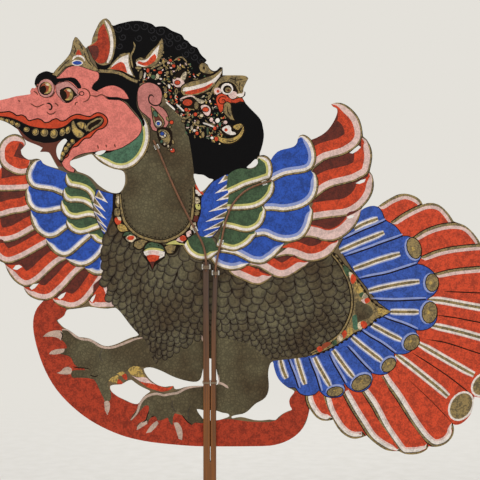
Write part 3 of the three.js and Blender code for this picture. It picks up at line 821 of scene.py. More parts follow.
def feather_rows(coat, side, rows):
    """Rows of feathers that overlap like roof tiles, the first one on top.

    Each feather is its outer edge, from the tip to the root. Its upper side is
    the edge of the feather above it, and the bands lie along the outer edge.
    """
    for bands, top, edges in rows:
        above = line(top)
        for edge in edges:
            outer = line(edge)
            joint = min(range(len(above)), key=lambda i: (above[i] - outer[0]).length)
            upper = above[joint:][::-1]
            for paint, width in bands:
                taper = THIN_TAPER if width < WIDE_BAND else WIDE_TAPER
                coat.fill(paint, (moved_in(outer, width, side, taper) if width else outer) + upper)
            above = outer


def toothed_panel(coat, panel, teeth):
    """The panel at a wing's root: blue, with white and gold teeth from one side."""
    coat.outlined("blue", panel)
    for tooth in teeth:
        tip, upper, lower = spots(tooth)
        middle = upper.lerp(lower, 0.5)
        coat.fill("white", [tip, upper, lower])
        core = [tip.lerp(middle, TOOTH_TIP), upper.lerp(middle, TOOTH_SIDE), lower.lerp(middle, TOOTH_SIDE)]
        coat.fill("gold", core)


class PUPPET_OT_near_wing(bpy.types.Operator):
    """Paint the near wing: red, blue and green rows of feathers"""

    bl_idname = "puppet.near_wing"
    bl_label = "Near wing"

    def execute(self, context):
        root = Coat("near_wing_root")
        toothed_panel(root, NEAR_PANEL, NEAR_TEETH)
        root.make()
        wing = Coat("near_wing_feathers")
        feather_rows(wing, 1, NEAR_ROWS)
        wing.make()
        return {"FINISHED"}


class PUPPET_OT_far_wing(bpy.types.Operator):
    """Paint the far wing, whose tips run to the left"""

    bl_idname = "puppet.far_wing"
    bl_label = "Far wing"

    def execute(self, context):
        wing = Coat("far_wing_feathers")
        feather_rows(wing, -1, FAR_ROWS)
        wing.make()
        root = Coat("far_wing_root")
        toothed_panel(root, FAR_PANEL, FAR_TEETH)
        root.make()
        return {"FINISHED"}


# Body

TORSO = (
    "146,116 172,104 186,128 191,150 194,172 197,190 | 214,200 238,240 300,262 332,250 | 346,270 353,290"
    " 354,310 347,330 332,348 310,356 272,361 | 264,372 240,384 216,388 206,384 | 200,382 190,382 172,377"
    " 156,370 148,366 | 150,350 142,337.6 131,325.6 117,307 111,295 107,280 105,265 104,252 104.5,240 |"
    " 107,228 112,215 117,200 120,194 124.5,188 127.5,180 125,171 | 124,160 136,140"
)
SCALED = (
    "104,236 | 102,262 104,283 114,308 128,328 140,341 | 145,350 152,359 160,361 170,355 180,348 190,342"
    " 200,336 | 204,334 212,331 218,333 230,339 242,341 252,344 260,350 268,357 | 276,358 290,355 312,352"
    " 329,343 343,330 349,314 349,292 342,274 330,256 | 300,240 216,240 150,246 112,224"
)
NECK_DOTS = "147,151.4 134.5,165.6"
BELLY_LINE = "202,327 201.6,333 202.6,341"
SCALE_TURN = Vector((228, 70))  # the scales lie in arcs about this spot and point away from it
FIRST_ARC, LAST_ARC = 168, 306
SWING = 0.75  # radians to either side that the arcs reach
SCALE_LINE = 0.62  # squares; the dark line round a scale
SCALE_BANDS = (("ink", 0), ("scale", SCALE_LINE), ("light_olive", 3.2 * SCALE_LINE))
SCALE_CORNERS = 14
SCALE_FULLNESS = 2.6  # 2 would be an oval, and more is fuller at the corners
SCALE_REACH = 0.56  # a scale's half width as a share of its place, so that neighbours overlap
SCALE_TILT = 12  # degrees either way that a scale is askew
GAP_ABOVE, GAP_LOSS = 9.4, 4.4  # squares between the upper arcs, and how much less between the lower ones
WIDE_ABOVE, WIDE_BELOW = 15, 6.6  # squares; a scale's width on the right
NARROW_ABOVE, NARROW_BELOW = 8.6, 5.8  # and on the left
TAIL_LOSS = 3  # squares that a scale is narrower next to the tail
# Where each change of the scales starts and how many squares it takes
SMALL_BELOW, WIDE_FROM, SLIM_FROM, CLOSE_BELOW = (264, 80), (150, 50), (318, 26), (258, 84)
ARC_SHIFT = 0.05  # radians that an arc's first scale may be off
SCALE_DRIFT = 0.2  # the share of a gap that a scale may be off its arc
WIDTH_SPREAD, HEIGHT_SPREAD = (0.8, 1.2), (0.95, 1.15)  # how scales differ, as shares
SCALE_SEED = 5


def ramp(value, start, length):
    """From 0 at the start to 1 after the length, and level beyond."""
    return min(max((value - start) / length, 0), 1)


def scale_width(column, row):
    """How wide a scale is: wide at the top right, narrow at the left and below."""
    down, right = ramp(row, *SMALL_BELOW), ramp(column, *WIDE_FROM)
    wide = (WIDE_ABOVE - TAIL_LOSS * ramp(column, *SLIM_FROM)) * (1 - down) + WIDE_BELOW * down
    narrow = NARROW_ABOVE * (1 - down) + NARROW_BELOW * down
    return narrow + (wide - narrow) * right


def squared(spot, across, down, tilt):
    """A scale's shape: an oval with fuller corners."""
    side, fall = axes(tilt)
    edge = []
    for i in range(SCALE_CORNERS):
        x, y = math.cos(2 * math.pi * i / SCALE_CORNERS), math.sin(2 * math.pi * i / SCALE_CORNERS)
        fullness = (abs(x) ** SCALE_FULLNESS + abs(y) ** SCALE_FULLNESS) ** (-1 / SCALE_FULLNESS)
        edge.append(spot + (side * across * x + fall * down * y) * fullness)
    return edge


def lay_scales(coat, region):
    """Lays the scales row by row, so that each row overlaps the one below it."""
    dice = random.Random(SCALE_SEED)
    arcs, radius = [], FIRST_ARC
    while radius < LAST_ARC:
        arcs.append(radius)
        radius += GAP_ABOVE - GAP_LOSS * ramp(radius + SCALE_TURN.y, *CLOSE_BELOW)
    gaps = [b - a for a, b in zip(arcs, arcs[1:])]
    for radius, gap in reversed(list(zip(arcs, gaps))):
        angle = dice.uniform(0, ARC_SHIFT) - SWING
        while angle < SWING:
            out = Vector((math.sin(angle), math.cos(angle)))
            spot = SCALE_TURN + out * (radius + dice.uniform(-SCALE_DRIFT, SCALE_DRIFT) * gap)
            width = scale_width(*spot) * dice.uniform(*WIDTH_SPREAD)
            tilt = -math.degrees(angle) + dice.uniform(-SCALE_TILT, SCALE_TILT)
            across, down = SCALE_REACH * width, gap * dice.uniform(*HEIGHT_SPREAD)
            angle += width / radius
            if covers(region, *spot):
                for paint, inset in SCALE_BANDS:
                    if across > inset and down > inset:
                        coat.fill(paint, squared(spot, across - inset, down - inset, tilt))


class PUPPET_OT_body(bpy.types.Operator):
    """Paint the neck and body, with their scales"""

    bl_idname = "puppet.body"
    bl_label = "Body"

    def execute(self, context):
        body = Coat("body_paint")
        body.leaves(("olive", TORSO))
        body.dots(0.9, NECK_DOTS)
        body.lines("claw", 1.6, BELLY_LINE)
        body.make()
        scales = Coat("body_scales")
        region = loop(SCALED)
        scales.fill("ink", shrunk(region, 3))
        lay_scales(scales, region)
        scales.make()
        return {"FINISHED"}


CRESCENT = (
    "66,309 67.5,315 62,319 56.6,320 60,325 66,331 | 70,345 78,360 92,377 110,389 126,401 143,404 |"
    " 170,412 200,419 230,419 250,421.5 275,420.6 284,413.4 291,410.5 | 288,405 288,398 292,392 299,391"
    " 306,396 309.6,405 309,413 | 300,434 280,448 240,451 180,451 130,443 90,426 60,402 38,367 28,332"
    " 31,312 43,298 58,300"
)


class PUPPET_OT_ground(bpy.types.Operator):
    """Paint the red crescent that the bird stands on"""

    bl_idname = "puppet.ground"
    bl_label = "Ground"

    def execute(self, context):
        ground = Coat("ground_crescent")
        ground.leaves(("ground_red", CRESCENT))
        ground.make()
        return {"FINISHED"}


LIMBS = (
    "62,330 66,329 71,331.4 76,335.4 82,338.4 90,339.4 96,342 101,345.4 108,346.4 116,345 125,341.6"
    " 134,338.6 142,337 | 146,341 149,349 152,358 | 158,366.6 150,367.6 140,366.6 134,366.4 130,369"
    " 127,371 122,372 118,375 114,378 109,380.4 108,385 110.6,391 111.4,397 | 110,401 105,401.6"
    " 103.4,397.6 100,390.6 97,384 94,379.4 | 88,378 80,377.6 72,377 72,371 79,370 90,370.4 | 86,368.4"
    " 78,367 74,363.6 71,357.6 67,355.4 60,354 | 62,349 67,347.6 65,343 62,339.6 62.6,335",
    "204,340 216,338 234,340 250,345 262,354 | 271,360 268.4,372 270,385 268.4,393 262,400 252,409 246,415"
    " 238,416 228,415 214,413 203,411 | 197,409.6 199,413 204,417 206,423 | 200,423 195,422.6 191.6,424.8"
    " 187,421 182,415 179,411.6 175.6,412.4 173,418 172.4,425 169,421 167.6,417.6 163,419.6 158,420.4"
    " 155.6,416.4 151,417.6 147.6,422.4 143,425 138,428 136.6,427 139,423.4 145,420 147,415 149,409"
    " 148.6,405 | 145,405.6 140,411 136,416 131,420.4 131,418 136.6,409.6 139.6,403.6 | 143,399.4"
    " 147,395.6 153,392.8 160,393 168,392.8 176,391 183,388.6 190,386 196,385.6 204,385.6 | 206,384"
    " 204,372 200,360",
)
CLAWS = (
    "43,336.6 47,333 52,331 58,330.2 61.6,331 62.6,334.6 61.4,340.6 | 59,338.4 54,336.8 48,336.6",
    "49,354 51,351.4 55,349.6 60,348.8 65,348.6 | 64,352 60,353.6 55,354.4",
    "57,373 61,371 64,368 67.6,366.8 71,368 72,371 70.6,374 | 66,374.4 61,374",
    "104.2,402 107,400.6 109.4,402 110,408 107.4,415 | 105,410",
    "136.6,430 138,425.6 142,421.8 147,420.6 | 147.4,423.6 143,426.4 139,429",
    "146,433 149,428 153,423.4 157,420.6 | 158.6,423 156,427 151,432",
    "173.6,422.6 178,422.6 181.6,428 182.6,434 182,440 | 178.6,438.6 176,430",
)
SHINS = (
    "62,329.6 68,330 72,333 76,336.4 82,339 89,339.8 94,342 99,345.6 106,347.6 113,347.2 121,344.6"
    " 129,341.4 136,338.8 142.4,337.6",
    "130.8,420 134.6,416 137.6,411.6 139.4,405.6 141.4,401.6 145,397.6 150,395 156,393.6 160,394.2 164,395"
    " 170,394 178,392.6 183,389.8 188,387.6 194,386.6 204,386.2",
    "216,382.6 222,383.6 226,386 228.4,388", "217,374 218.4,378 218.6,383",
)
TOE_LINES = (
    "149,411 147.4,415.6 146,420 142,422.6", "151,417 154.4,415.6", "182,415 187,421 191.6,424.8",
    "73,366.6 78,367.6 85,368 90,369", "90,375 95,376.4 98.4,375.4", "60.4,331.4 62.6,334.6 61.4,340",
)
LEG_FOLDS = ("103,348 100,356 103,362", "176,412 172,406 173,400", "189,420 188,412 191,406")
SPURS = (
    ("bright_gold", "128,370 131,367 136,366 140.6,367.6 143,373 146,378 | 141,377.4 135,376 130.6,374"),
    ("pink", "131.6,375.4 137,377.4 143,377 147,378 151,382 156,384.6 | 150,384.6 144,383 138,380"),
    ("red", "139,381 145,382.6 151,383.4 156,384.6 160,386 167,387.8 171,386.6 173.6,384.6 | 172,388.4"
            " 168,390.6 161,391.4 154,389.6 147,387"),
    ("bright_gold", "108.6,381 111,378 115,375.6 118,375 | 119,378.4 117.6,383 113,382.4"),
    ("red", "118,379 120.6,380 123,383.4 | 120,384.4 117,383.4"),
    ("bright_gold", "117,373.6 121,371.6 125,372 | 124,375.6 120,375.6"),
    ("red", "121.6,375.6 125.6,373.6 127.4,378 126.6,380 | 124,379"),
)


class PUPPET_OT_legs(bpy.types.Operator):
    """Paint the legs, feet, claws and spurs"""

    bl_idname = "puppet.legs"
    bl_label = "Legs and feet"

    def execute(self, context):
        legs = Coat("legs_and_feet")
        legs.leaves(("olive", *LIMBS), ("claw", *CLAWS))
        legs.lines("claw", 2.3, *SHINS)
        legs.lines("ink", 1, *TOE_LINES)
        legs.lines("scale", 1.4, *LEG_FOLDS)
        legs.leaves(*SPURS)
        legs.make()
        return {"FINISHED"}


# Tail

TAIL_FIELD = "376,200 430,190 520,236 520,330 484,404 440,456 | 380,460 312,424 | 309,388 400,300"
TAIL_UPPER = (
    ("378,204.6 382,203 388,199 394,196 404,193 412,194.4 418,197.6 422,201.6 423,205.4",
     "418,208 406,213 391,222 380,214"),
    ("391,222 398,216.6 406,211.6 415,207 424,203.4 433,202.6 441,205 448,211.6 453.6,220.6 455,226.4",
     "446,227 435,229.6 425,233 413,238 398,232"),
    ("412,238 422,231 432,226.6 443,223.6 455,222.6 465,224.6 473,230.6 481,243.6 480,247",
     "465,247 450,248.6 435,252 421,257 408,246"),
    ("420,257 435,250.6 450,247 465,245 480,244 488,245 493,249.4 497,257 498,266 490,267.4",
     "470,267.4 450,269.4 434,273 422,266"),
    ("434,273.6 450,269.4 470,267 490,266 501,268 506,276.4 507.6,284.6 506.6,294 490,293",
     "470,292.4 445,291.6 430,290"),
)
TAIL_QUILLS = (
    "428,299.6 440,300.4 455,303 470,305.8 485,308.4 494,309.6",
    "430,325 442,327.6 455,330.6 468,334 480,337.4 490,340",
    "418,343.4 430,350 442,357 455,364.4 466,370.6 474,374.6",
    "396,354.6 408,363.6 420,373 432,382.6 441,390 448,396.4",
)
TAIL_GAPS = (
    "444,291.4 472.6,292.6 490,293.4 507,296", "436,315 457,318 480,322.4 508,326",
    "427,339.4 445,342.4 480,353.6 500,358", "412,352.6 430,364 450,377.6 474,396.6",
    "398,369.6 415,386 432,402 452,423",
)
TAIL_LOWER = (
    ("452,423 454.6,431 451,440 443.5,445.6 434,447 425,441 416,430 406,415 396,399 386,385 381,377",
     "396,375 398,370 415,386 432,402"),
    ("427,444 428,450 421,453.6 411,455 402,454 392,442 382,427 372,408 360,390",
     "372,382 381,377 391,394 402,411 414,427"),
    ("399,449 398,453 390,452 380,447 370,439 360,424 350,408 342,393",
     "354,391 360,391 368,404 379,421 390,436"),
    ("362,432 366,437 360,439 350,438.6 340,432 332,421 326,409 323,396",
     "334,396 341,394 345,406 352,418"),
    ("332,418 328,422 318,419.6 311,412 306,402 305,394", "318,392 323,396 326,404"),
)
RED_SPOTS = (
    (461, 406, 10, 14, 32), (484, 384, 9, 13, 48), (497, 343, 8, 11, 75), (499, 311, 8, 11, 88),
    (497, 282, 8, 10, 80),
)
BLUE_FAN = (
    "358,212 364,207 370,205 377.6,206.4 382,211 385,219 | 388,221.4 394,224.6 400,231 402.4,235.6 |"
    " 408,235.6 414,238.6 419,244 421.8,251 421,258 417.4,263.6 | 423,264.6 430,268.6 436,275 439,282"
    " 437.6,290 432.6,296 427,299.4 | 432,301.6 436,307 437.6,314 436,322 431,327.6 424,330.4 416,330.6 |"
    " 418.4,337 418,343 413,350 406,354 400,354.6 394.4,354 | 395.6,360 393,368 387,374 379,375"
    " 371.6,373.4 | 373,379 370,387 362,392 354,391.6 347.6,387.6 344,383.6 | 345.6,389 342,396 333,398"
    " 325,396.4 319,391 | 315,394.6 308,396 300,394 295,388 | 288,388 281,383.4 276,377 273,368 272,358 |"
    " 285,356 300,355 313,354 325,350 336,344 345,339 354,333 362,325 374,318 389,311 | 378,303 367,289"
    " 353,271 338,247 | 344,236 352,224"
)
BLUE_QUILLS = (
    "354,229 362,224.6 370,221.4 377.8,218.6", "340,251 350,246.6 362,241.4 374,236.6 384,232.4",
    "353.6,269 366,264.6 378,260.2 390,256.6 400,253.8", "368.6,291 380,288 394,285 406,283 419.4,281.4",
    "390.4,311.6 399,311.8 409,311.9 418.6,311.9", "371.6,324.6 381,329.6 391,335 401.4,340",
    "352,337 362,345.6 372,353.4 382.6,361.4", "333,350 340,360 347,369.4 353.8,377.6",
    "314.4,357 319,366.6 325,377 330,386", "296.4,357 299,366 302,375.6 305,384.4",
    "280.4,360 282,366.6 284,372.6 286.6,378.4",
)
BLUE_GAPS = (
    "343,240 353,235 364,230 375.6,225.4 386,220.6",
    "344,257 356,252.8 369,248.4 382,243.4 396,238.6 403,235.8",
    "358.6,279.6 371,276.8 386,274 401,269.4 417,264.2",
    "371,299.8 384,300.6 397,300.8 411,300.2 426,299.6", "382,316.6 393,320.8 404,324.4 417,330.2",
    "360,330 370,336.8 382,343.8 395,353.6", "346.4,346 354,354 362,363 372,373",
    "329,354.6 334,364.6 340,374.6 345,383.6", "308.4,357 312,366 316,376 320.4,391",
    "287.6,358 291,367 295,377 298.4,388",
)
BLUE_SPOTS = (
    (414, 248, 6.6, 10.6, -17), (432, 282.6, 6.2, 8.6, 0), (429.6, 312.4, 7.2, 10.4, 8),
    (411.6, 342.4, 6.6, 8.6, 42), (388.8, 365, 5.4, 8, 45), (361.4, 382.6, 10.4, 6.6, -32),
    (335, 391.6, 8, 4.4, -12),
)
TAIL_MIDDLE = Vector((350, 300))
SPOT_RIM, PALE_RIM = 2, 1.6  # squares of white round a red feather's spot, and of blue round the others
PALE_SHIFT = 1.4  # squares that the pale rim lies nearer to the tail's middle
LIT_ACROSS, LIT_DOWN = 0.22, 0.2  # the lit middle of a spot, as shares of its half widths
GAP_SHIFT = 1.9  # squares that the pale line lies beside each dark gap
FEATHER_TAPER = 0.05  # the share of a tail feather in which a band leaves its root
# Bands of the tail's feathers: paint, depth from the edge, width, and the shares of it at both ends
UPPER_BANDS = (("pink", 4.4, 3.6, 0.5, 0.5), ("gold", 1.6, 2.8, 1, 1), ("ink", 0, 1, 1, 1))
LOWER_BANDS = (
    ("pink", 6.2, 3.4, 0.3, 0.6), ("white", 4.2, 3.6, 0.3, 0.6), ("ink", 2, 1.8, 0.5, 0.8),
    ("gold", 1.2, 2.4, 0.5, 0.8), ("ink", 0, 1, 1, 1),
)
TAIL_ROOT = (
    "331,252 337,254 341,259 347,267 353,272 356,278 361,284 365,290 370,298 376,304 384,309 391.4,311.6 |"
    " 383,317 375,320 372,325 366,327 360,331 354,333.6 | 349,338 342,342 334,347 325,351 312,356 |"
    " 311,353 320,349 330,343.6 339,335 346,325 350,313 351,300 349.6,288 345,276 338,265 331,256"
)
TAIL_LINE = (
    "332,254.6 337.6,261 343,269.6 347.6,279 350.6,289 352,300 351.4,309 348.4,319 343.6,328.6 337,336.6"
    " 328,343 319,348.4 311,352.6"
)
TAIL_RIM = (
    "333,253.4 341,262 350,270.6 357,280 364,290 371,300 380,307.4 389,311.4 381,316.6 372,323.4 362,330"
    " 352,335.6 343,341.6 334,347 325,351.4 314,355"
)
TAIL_LEAVES = (
    ("light_olive", "357,301 364,303 370,306 373,312 370,317 363,320 357,322 355,312"),
    ("green", "343,265 348,268 351,274 347,276 344,271"),
    ("cream", "349,272 352,273 353.4,279 351,283 349.6,278"),
    ("red", "352,274 355.6,276.6 356,280 352.6,284 350.4,281"),
    ("bright_gold", "354,283 359,285 363,290 361,293 356,292"),
    ("green", "359,294 363,292 364,294.6 361,297.6"),
    ("cream", "362,298 364,293.4 368,296 367,299.6"),
    ("pink", "361,300 365,299 368,300 365,303.6"),
    ("red", "364.4,299.6 368,297.6 370,300.6 366,303.4"),
    ("bright_gold", "378,308 384,309 390.4,311.4 384,314.6 378,314"),
    ("chin_green", "352.6,316 356,314.6 357.4,322 358,329 354,329.6 352.4,322"),
    ("cream", "357.6,324 360.4,321.6 362,326 360.6,330 358,328"),
    ("red", "360.4,322.4 364,321 367.4,324.6 364,328.6 361.4,326.6"),
    ("bright_gold", "346.6,331 350,327 353,329 352,334 348,336"),
    ("red", "341.6,334.4 344.6,330 347,333 344.4,338 342,338"),
    ("cream", "337,338 341,334 343,338.4 339.6,341.6"),
    ("green", "332,343 335.4,339.6 337,343.6 334,345.6"),
    ("amber", "322,345 327,342 331,343 327,347 322,349"),
    ("red", "316.6,348.4 320,346 322.6,350 319,352"),
)
TAIL_DOTS = (
    "341.4,262.6 343.4,266.4 347,272 355.4,283 357,288 361,306 375,309 368,314 357,334 333.4,343 328,347.4"
    " 323,349.6"
)


def tail_feathers(coat, edges, bands):
    """Red feathers whose bands follow their outer edges, each over the one before."""
    for outer, inner in edges:
        edge = line(outer)
        coat.fill("tail_red", edge + line(inner))
        for paint, depth, width, start, end in bands:
            coat.fill(paint, stroke(moved_in(edge, depth, 1, FEATHER_TAPER), width, start, end))


def lay_reds(reds):
    """Lays the long red feathers."""
    reds.leaves(("tail_red", TAIL_FIELD))
    tail_feathers(reds, TAIL_UPPER, UPPER_BANDS)
    for text in TAIL_GAPS:
        reds.ribbon(line(text), ("ink", 1.2), start=0.3, end=0.6)
    for text in TAIL_QUILLS:
        reds.ribbon(line(text), ("pink", 7.6), ("white", 6), ("gold", 2.7), start=0.7, end=0.8)
    tail_feathers(reds, TAIL_LOWER, LOWER_BANDS)
    for column, row, across, down, tilt in RED_SPOTS:
        reds.fill("white", oval(column, row, across + SPOT_RIM, down + SPOT_RIM, tilt))
        reds.fill("gold", oval(column, row, across, down, tilt))


def lay_blues(blues):
    """Lays the fan of short blue feathers."""
    blues.outlined("tail_blue", BLUE_FAN, 0.8)
    for text in BLUE_QUILLS:
        blues.ribbon(line(text), ("pale_blue", 7.6), ("white", 5.4), ("gold", 2.7), start=0.8, end=0.7)
    for text in BLUE_GAPS:
        gap = line(text)
        blues.ribbon(shifted(gap, -GAP_SHIFT), ("pale_blue", 2), start=0.1, end=0.5)
        blues.ribbon(gap, ("ink", 1.4), start=0.5, end=0.8)
    for column, row, across, down, tilt in BLUE_SPOTS:
        inward = (TAIL_MIDDLE - Vector((column, row))).normalized() * PALE_SHIFT
        lit_column, lit_row = column + inward.x, row + inward.y
        blues.fill("pale_blue", oval(lit_column, lit_row, across + PALE_RIM, down + PALE_RIM, tilt))
        blues.gems(0.9, ("gold", column, row, across, down, tilt))
        blues.gems(0, ("bright_gold", lit_column, lit_row, across * LIT_ACROSS, down * LIT_DOWN, tilt))


def lay_tail_root(root):
    """Lays the jewelled band between the body and the tail."""
    root.outlined("gold", TAIL_ROOT, 0.9)
    root.ribbon(line(TAIL_LINE), ("ink", 3.8), ("gold", 1.7), start=0.7, end=0.7)
    root.dashes(line(TAIL_RIM), 2.2)
    root.leaves(*TAIL_LEAVES)
    root.dots(0.6, TAIL_DOTS)


class PUPPET_OT_tail(bpy.types.Operator):
    """Paint the tail: long red feathers behind a fan of blue ones"""

    bl_idname = "puppet.tail"
    bl_label = "Tail"

    def execute(self, context):
        for name, lay in (
            ("tail_red_feathers", lay_reds),
            ("tail_blue_feathers", lay_blues),
            ("tail_root_band", lay_tail_root),
        ):
            coat = Coat(name)
            lay(coat)
            coat.make()
        return {"FINISHED"}


# Neck ornament

NECKLACE_LINE = (
    "120.4,194 121,205 122.4,213.6 124.8,221.4 129.4,227.6 134.8,233 141,236.6 149.4,239.4 157.8,241.2"
    " 165.4,241 173.2,238 179.4,234.8 185.4,229.8 189.4,224.4 191.6,218.4 192.6,210.8 193.4,203"
    " 193.6,195.4 193.2,187"
)
DASH_SHIFT = 3.2  # squares from the line to the row of dashes inside it
# The ornaments outside the line, from the left shoulder round to the right one
NECKLACE_LEAVES = (
    ("ink", "113,193 121,192.6 121.6,206 123,216 127,225 131,231 | 127,233 121,233 116,227 112.6,217"
            " 112.6,205"),
    ("gold", "116.6,194.6 120,194.4 120.4,204 | 118.4,208 116,205 115.6,199"),
    ("gold", "115.4,208.6 119,208.6 120.4,212.6 119,216 115,215.6 114.4,212"),
    ("cream", "117,196.6 119,196.6 119,204 117.4,203"),
    ("red", "115,218 120,217.6 121,222.4 118,225 115,221.6"),
    ("cream", "117.4,217 120.4,217 121,220.4 118.6,219.8"),
    ("bright_gold", "117.4,226 121.4,224 126,226 128.4,230 124,231.6 120,231"),
    ("ink", "121.6,236 124,232 130,230.8 136,235 137.6,239.6 | 132,243.6 126,241.6"),
    ("green", "123,236 125,232.8 130,232 134.4,235 | 129,234.8"),
    ("cream", "125.4,238 129,235 134.4,236 136.4,238.6 | 132,242.4 127.4,241"),
    ("red", "127,238 130,235.8 134.4,236.6 133,239.6 129,240"),
    ("ink", "134,241 141,237.6 149,240.4 | 145.6,247 139,250.4 132.6,246.6"),
    ("gold", "135,242 141,239.6 148,241.4 | 144.6,246 139,249 134,246"),
    ("ink", "142.6,250.6 144,245 149,240.6 159,242 165,246 166.4,252 | 165,257.6 159.6,262 155,266"
            " 152.6,271 | 149,264 144.6,258"),
    ("green", "144.4,248.6 146.6,244.6 151,242.4 158,243.4 162.6,246.4 164.4,249.4 | 156,247.6 150,247.6"),
    ("yellow", "144,250.6 149,248 159,248.4 164.4,250.4 | 160,252 150,251.6"),
    ("white", "143.6,251.6 149,250 159,250.4 164.8,252 | 164.4,256 159.6,258.4 149,257.6 144.6,254.6"),
    ("pink", "148,251.6 153,250.4 159.4,251.8 | 158.4,256 149,255.4"),
    ("red", "146.6,255.6 152,254.6 160,255.8 | 158.6,259.4 154.6,262 152.6,269 | 150,262 147.6,259"),
    ("maroon", "150,261.6 154.6,261.4 | 152.6,269.6"),
    ("ink", "163.6,246 170,241.6 178,240 | 180,246.4 174,254.6 167,254.4"),
    ("gold", "164.8,247 170,244.6 176,246 | 173.6,253 168,253 166,250"),
    ("yellow", "165.6,244.6 171,241.6 178,240.2 183.6,242 184.6,245 | 180,244.6 172,244.2"),
    ("ink", "175,240 179,234.4 185,233 188.6,238 | 185,244 179,243"),
    ("pink", "176,240.6 179,236.6 183,235 | 186.6,238.6 182.4,242.4"),
    ("red", "179.6,239 181,235.6 185,236 186.4,239 183,241.4"),
    ("ink", "184.6,231 190,224 192.4,216 194,187 | 201,188 201.4,205 200.6,214 197,224 193,235 189,238"),
    ("red", "195,184.6 199,185 203.6,194.6 | 200,194.4 196,189"),
    ("white", "195.4,189.6 197.6,190.4 201.6,195 | 198.6,196 195.6,193"),
    ("cream", "195.4,197 198.6,198 200,202 196,203.6"),
    ("yellow", "195.6,204.6 199.6,204.4 200,209.6 196.4,208.8"),
    ("gold", "194.6,210.4 198,210 199.4,213.6 195.6,215.4"),
    ("maroon", "193.6,216.4 198,216 197,221.6 193,220.6"),
    ("cream", "191.6,223.6 195.6,222.6 194.4,229 190.6,229.6"),
    ("pink", "186.6,232.6 190.6,230.4 191,235 187.4,237"),
)
NECKLACE_DOTS = (
    "116.4,199 114.4,206.6 118,210 114.6,217.6 119.6,216.2 123.4,224.2 127.6,229.2 130,233.4 123.6,237.4"
    " 127,241.4 197,194.6 197.2,201 198.6,205.4 195.2,211.6 199.4,213.8 194.4,226 190.4,234.4 188.6,228.6"
    " 173.6,251.8 177,248.6 150,244.8 158.6,245.4"
)


class PUPPET_OT_necklace(bpy.types.Operator):
    """Paint the necklace and its pendant"""

    bl_idname = "puppet.necklace"
    bl_label = "Necklace"

    def execute(self, context):
        band = Coat("necklace")
        band.leaves(*NECKLACE_LEAVES)
        path = line(NECKLACE_LINE)
        band.ribbon(path, ("ink", 4.2), ("gold", 2.2), start=0.6, end=0.6)
        band.dashes(shifted(path, -DASH_SHIFT)[2:-1], 0.9)
        band.dots(0.8, NECKLACE_DOTS)
        band.make()
        return {"FINISHED"}


# Head

SKIN = (
    "-16,114 -16.4,106 -9,101.6 0,99 8,97 16,95 24,94 30,93.6 | 30,90 32,86.8 37,87 | 36,80 40,77 52,78"
    " 57,77 62,72.5 67,67.6 74,65.4 82,66.4 91,69.6 98,71.8 99.8,75.4 98.6,80 94.6,84 92.6,88.4 96,90.6"
    " 102,92 107,97.6 113,99.4 119,99.6 125,102.4 130,107.6 135,113.8 140,119.6 142.2,126 141.6,131"
    " 139,136 134,140.6 127.6,145 120,149 112,151 102,151.6 93,152.6 84,154 77,156.4 73,159.4 71,162.6"
    " 72.4,166.6 76,169.8 | 74,173 68,171.4 63.4,167 61.4,162 64,155 | 72,146 84,136 96,130 102,123"
    " 100,117.6 | 84,118 60,123 30,121 0,114.6"
)
TEMPLE = (
    "99,72 106,74.6 114,74.8 122,77 130,79.8 137,81 139.8,84 137.4,91 136.6,99 137.4,107 140,112 142.6,117"
    " 145,124 143,127 | 141.6,121 137,114.6 131,107.6 126.4,102.4 121,100.2 112,100 107.6,99.4 104.6,96.6"
    " 100,92.6 95,91 92.2,88.6 93,85 97,82 99.6,77.6"
)
CHIN = (
    CHIN_BANDS,
    "93,152.6 98,152.6 106,150.8 118,149.6 127,145.6 134,140.8 139,136 141.8,131 142.6,126 141.4,120"
    " 139,116",
    (
        "93,152.6 96,157.4 100,161.6 106,166 113,169.4 120,170.6 127,169.8 134,166.6 140,161.6 145,155"
        " 148.6,147 150.4,139 150.4,131 149,124 146,118 142,114",
    ),
)
CHIN_SEAM = "92.6,153 99,153.4 106,151.8 114,150.4"
CHEEKBONE = (
    "97.6,91 103,88 109,86 115,86 120,88 124,91 127,95 | 128.8,98.8 124,98.8 118,97.2 110,97 104,95.6"
)
FAR_BROW = "33.6,87 34.6,80 38,74.6 43,71.8 48,71.4 53,73.6 57,77.6 57,83 54,86 | 44,80"
NEAR_BROW = (
    "54.6,78.6 60.5,78.3 65.5,77.8 71.2,77.4 75.6,78.6 78.8,81.8 81.2,86.2 81.2,88.4 | 78,88.9 75.4,85.6"
    " 71.8,82.4 66.8,81 61.8,82 58,83 55.8,85 55,86.8"
)
FACE_FOLDS = (
    "81.8,88.4 85.6,89 88.6,91.2 90,94.4 89.6,97.4 87.4,100.4 83,102.2", "55.2,91.6 53,95.4 49.8,97.6",
    "30.5,103.4 34.4,106 37.6,107 41,105.6 44.6,104", "54.8,103 57.4,104.8 58.4,106.4",
    "46.8,111.8 49.4,114.2 53,113.8 56.2,111.4", "78,102 75.8,103 75.2,105.6", "33.6,91.6 36,92.4 38,95",
    "90.6,95.4 96.8,96.4 101,94.8 105,96.2 108,99.2", "18.6,100 20,102",
)
NOSTRIL = "46.8,103.4 50,103.8 52,106.8 51,109.4 48.8,109.2"
CHIN_FOLDS = ("97.6,145 98.6,149", "106,144.6 106.8,147.6", "114.6,144 115.4,147.4")
# The far eye's rings, iris and pupil; the last, cream oval is a painted highlight
FACE_EYES = (
    ("ink", 46.2, 88.2, 8.9, 9.9, 0), ("lid", 46.2, 88.2, 8.1, 9.1, 0), ("ink", 45.7, 88.6, 6.6, 6.8, 0),
    ("bright_gold", 46.4, 88.2, 5.4, 5.9, 0), ("amber", 44.8, 88.2, 4.2, 5.2, 20),
    ("ink", 43.2, 89.8, 3.2, 4.2, 15), ("cream", 47.4, 84.6, 2, 1.2, 20),
)
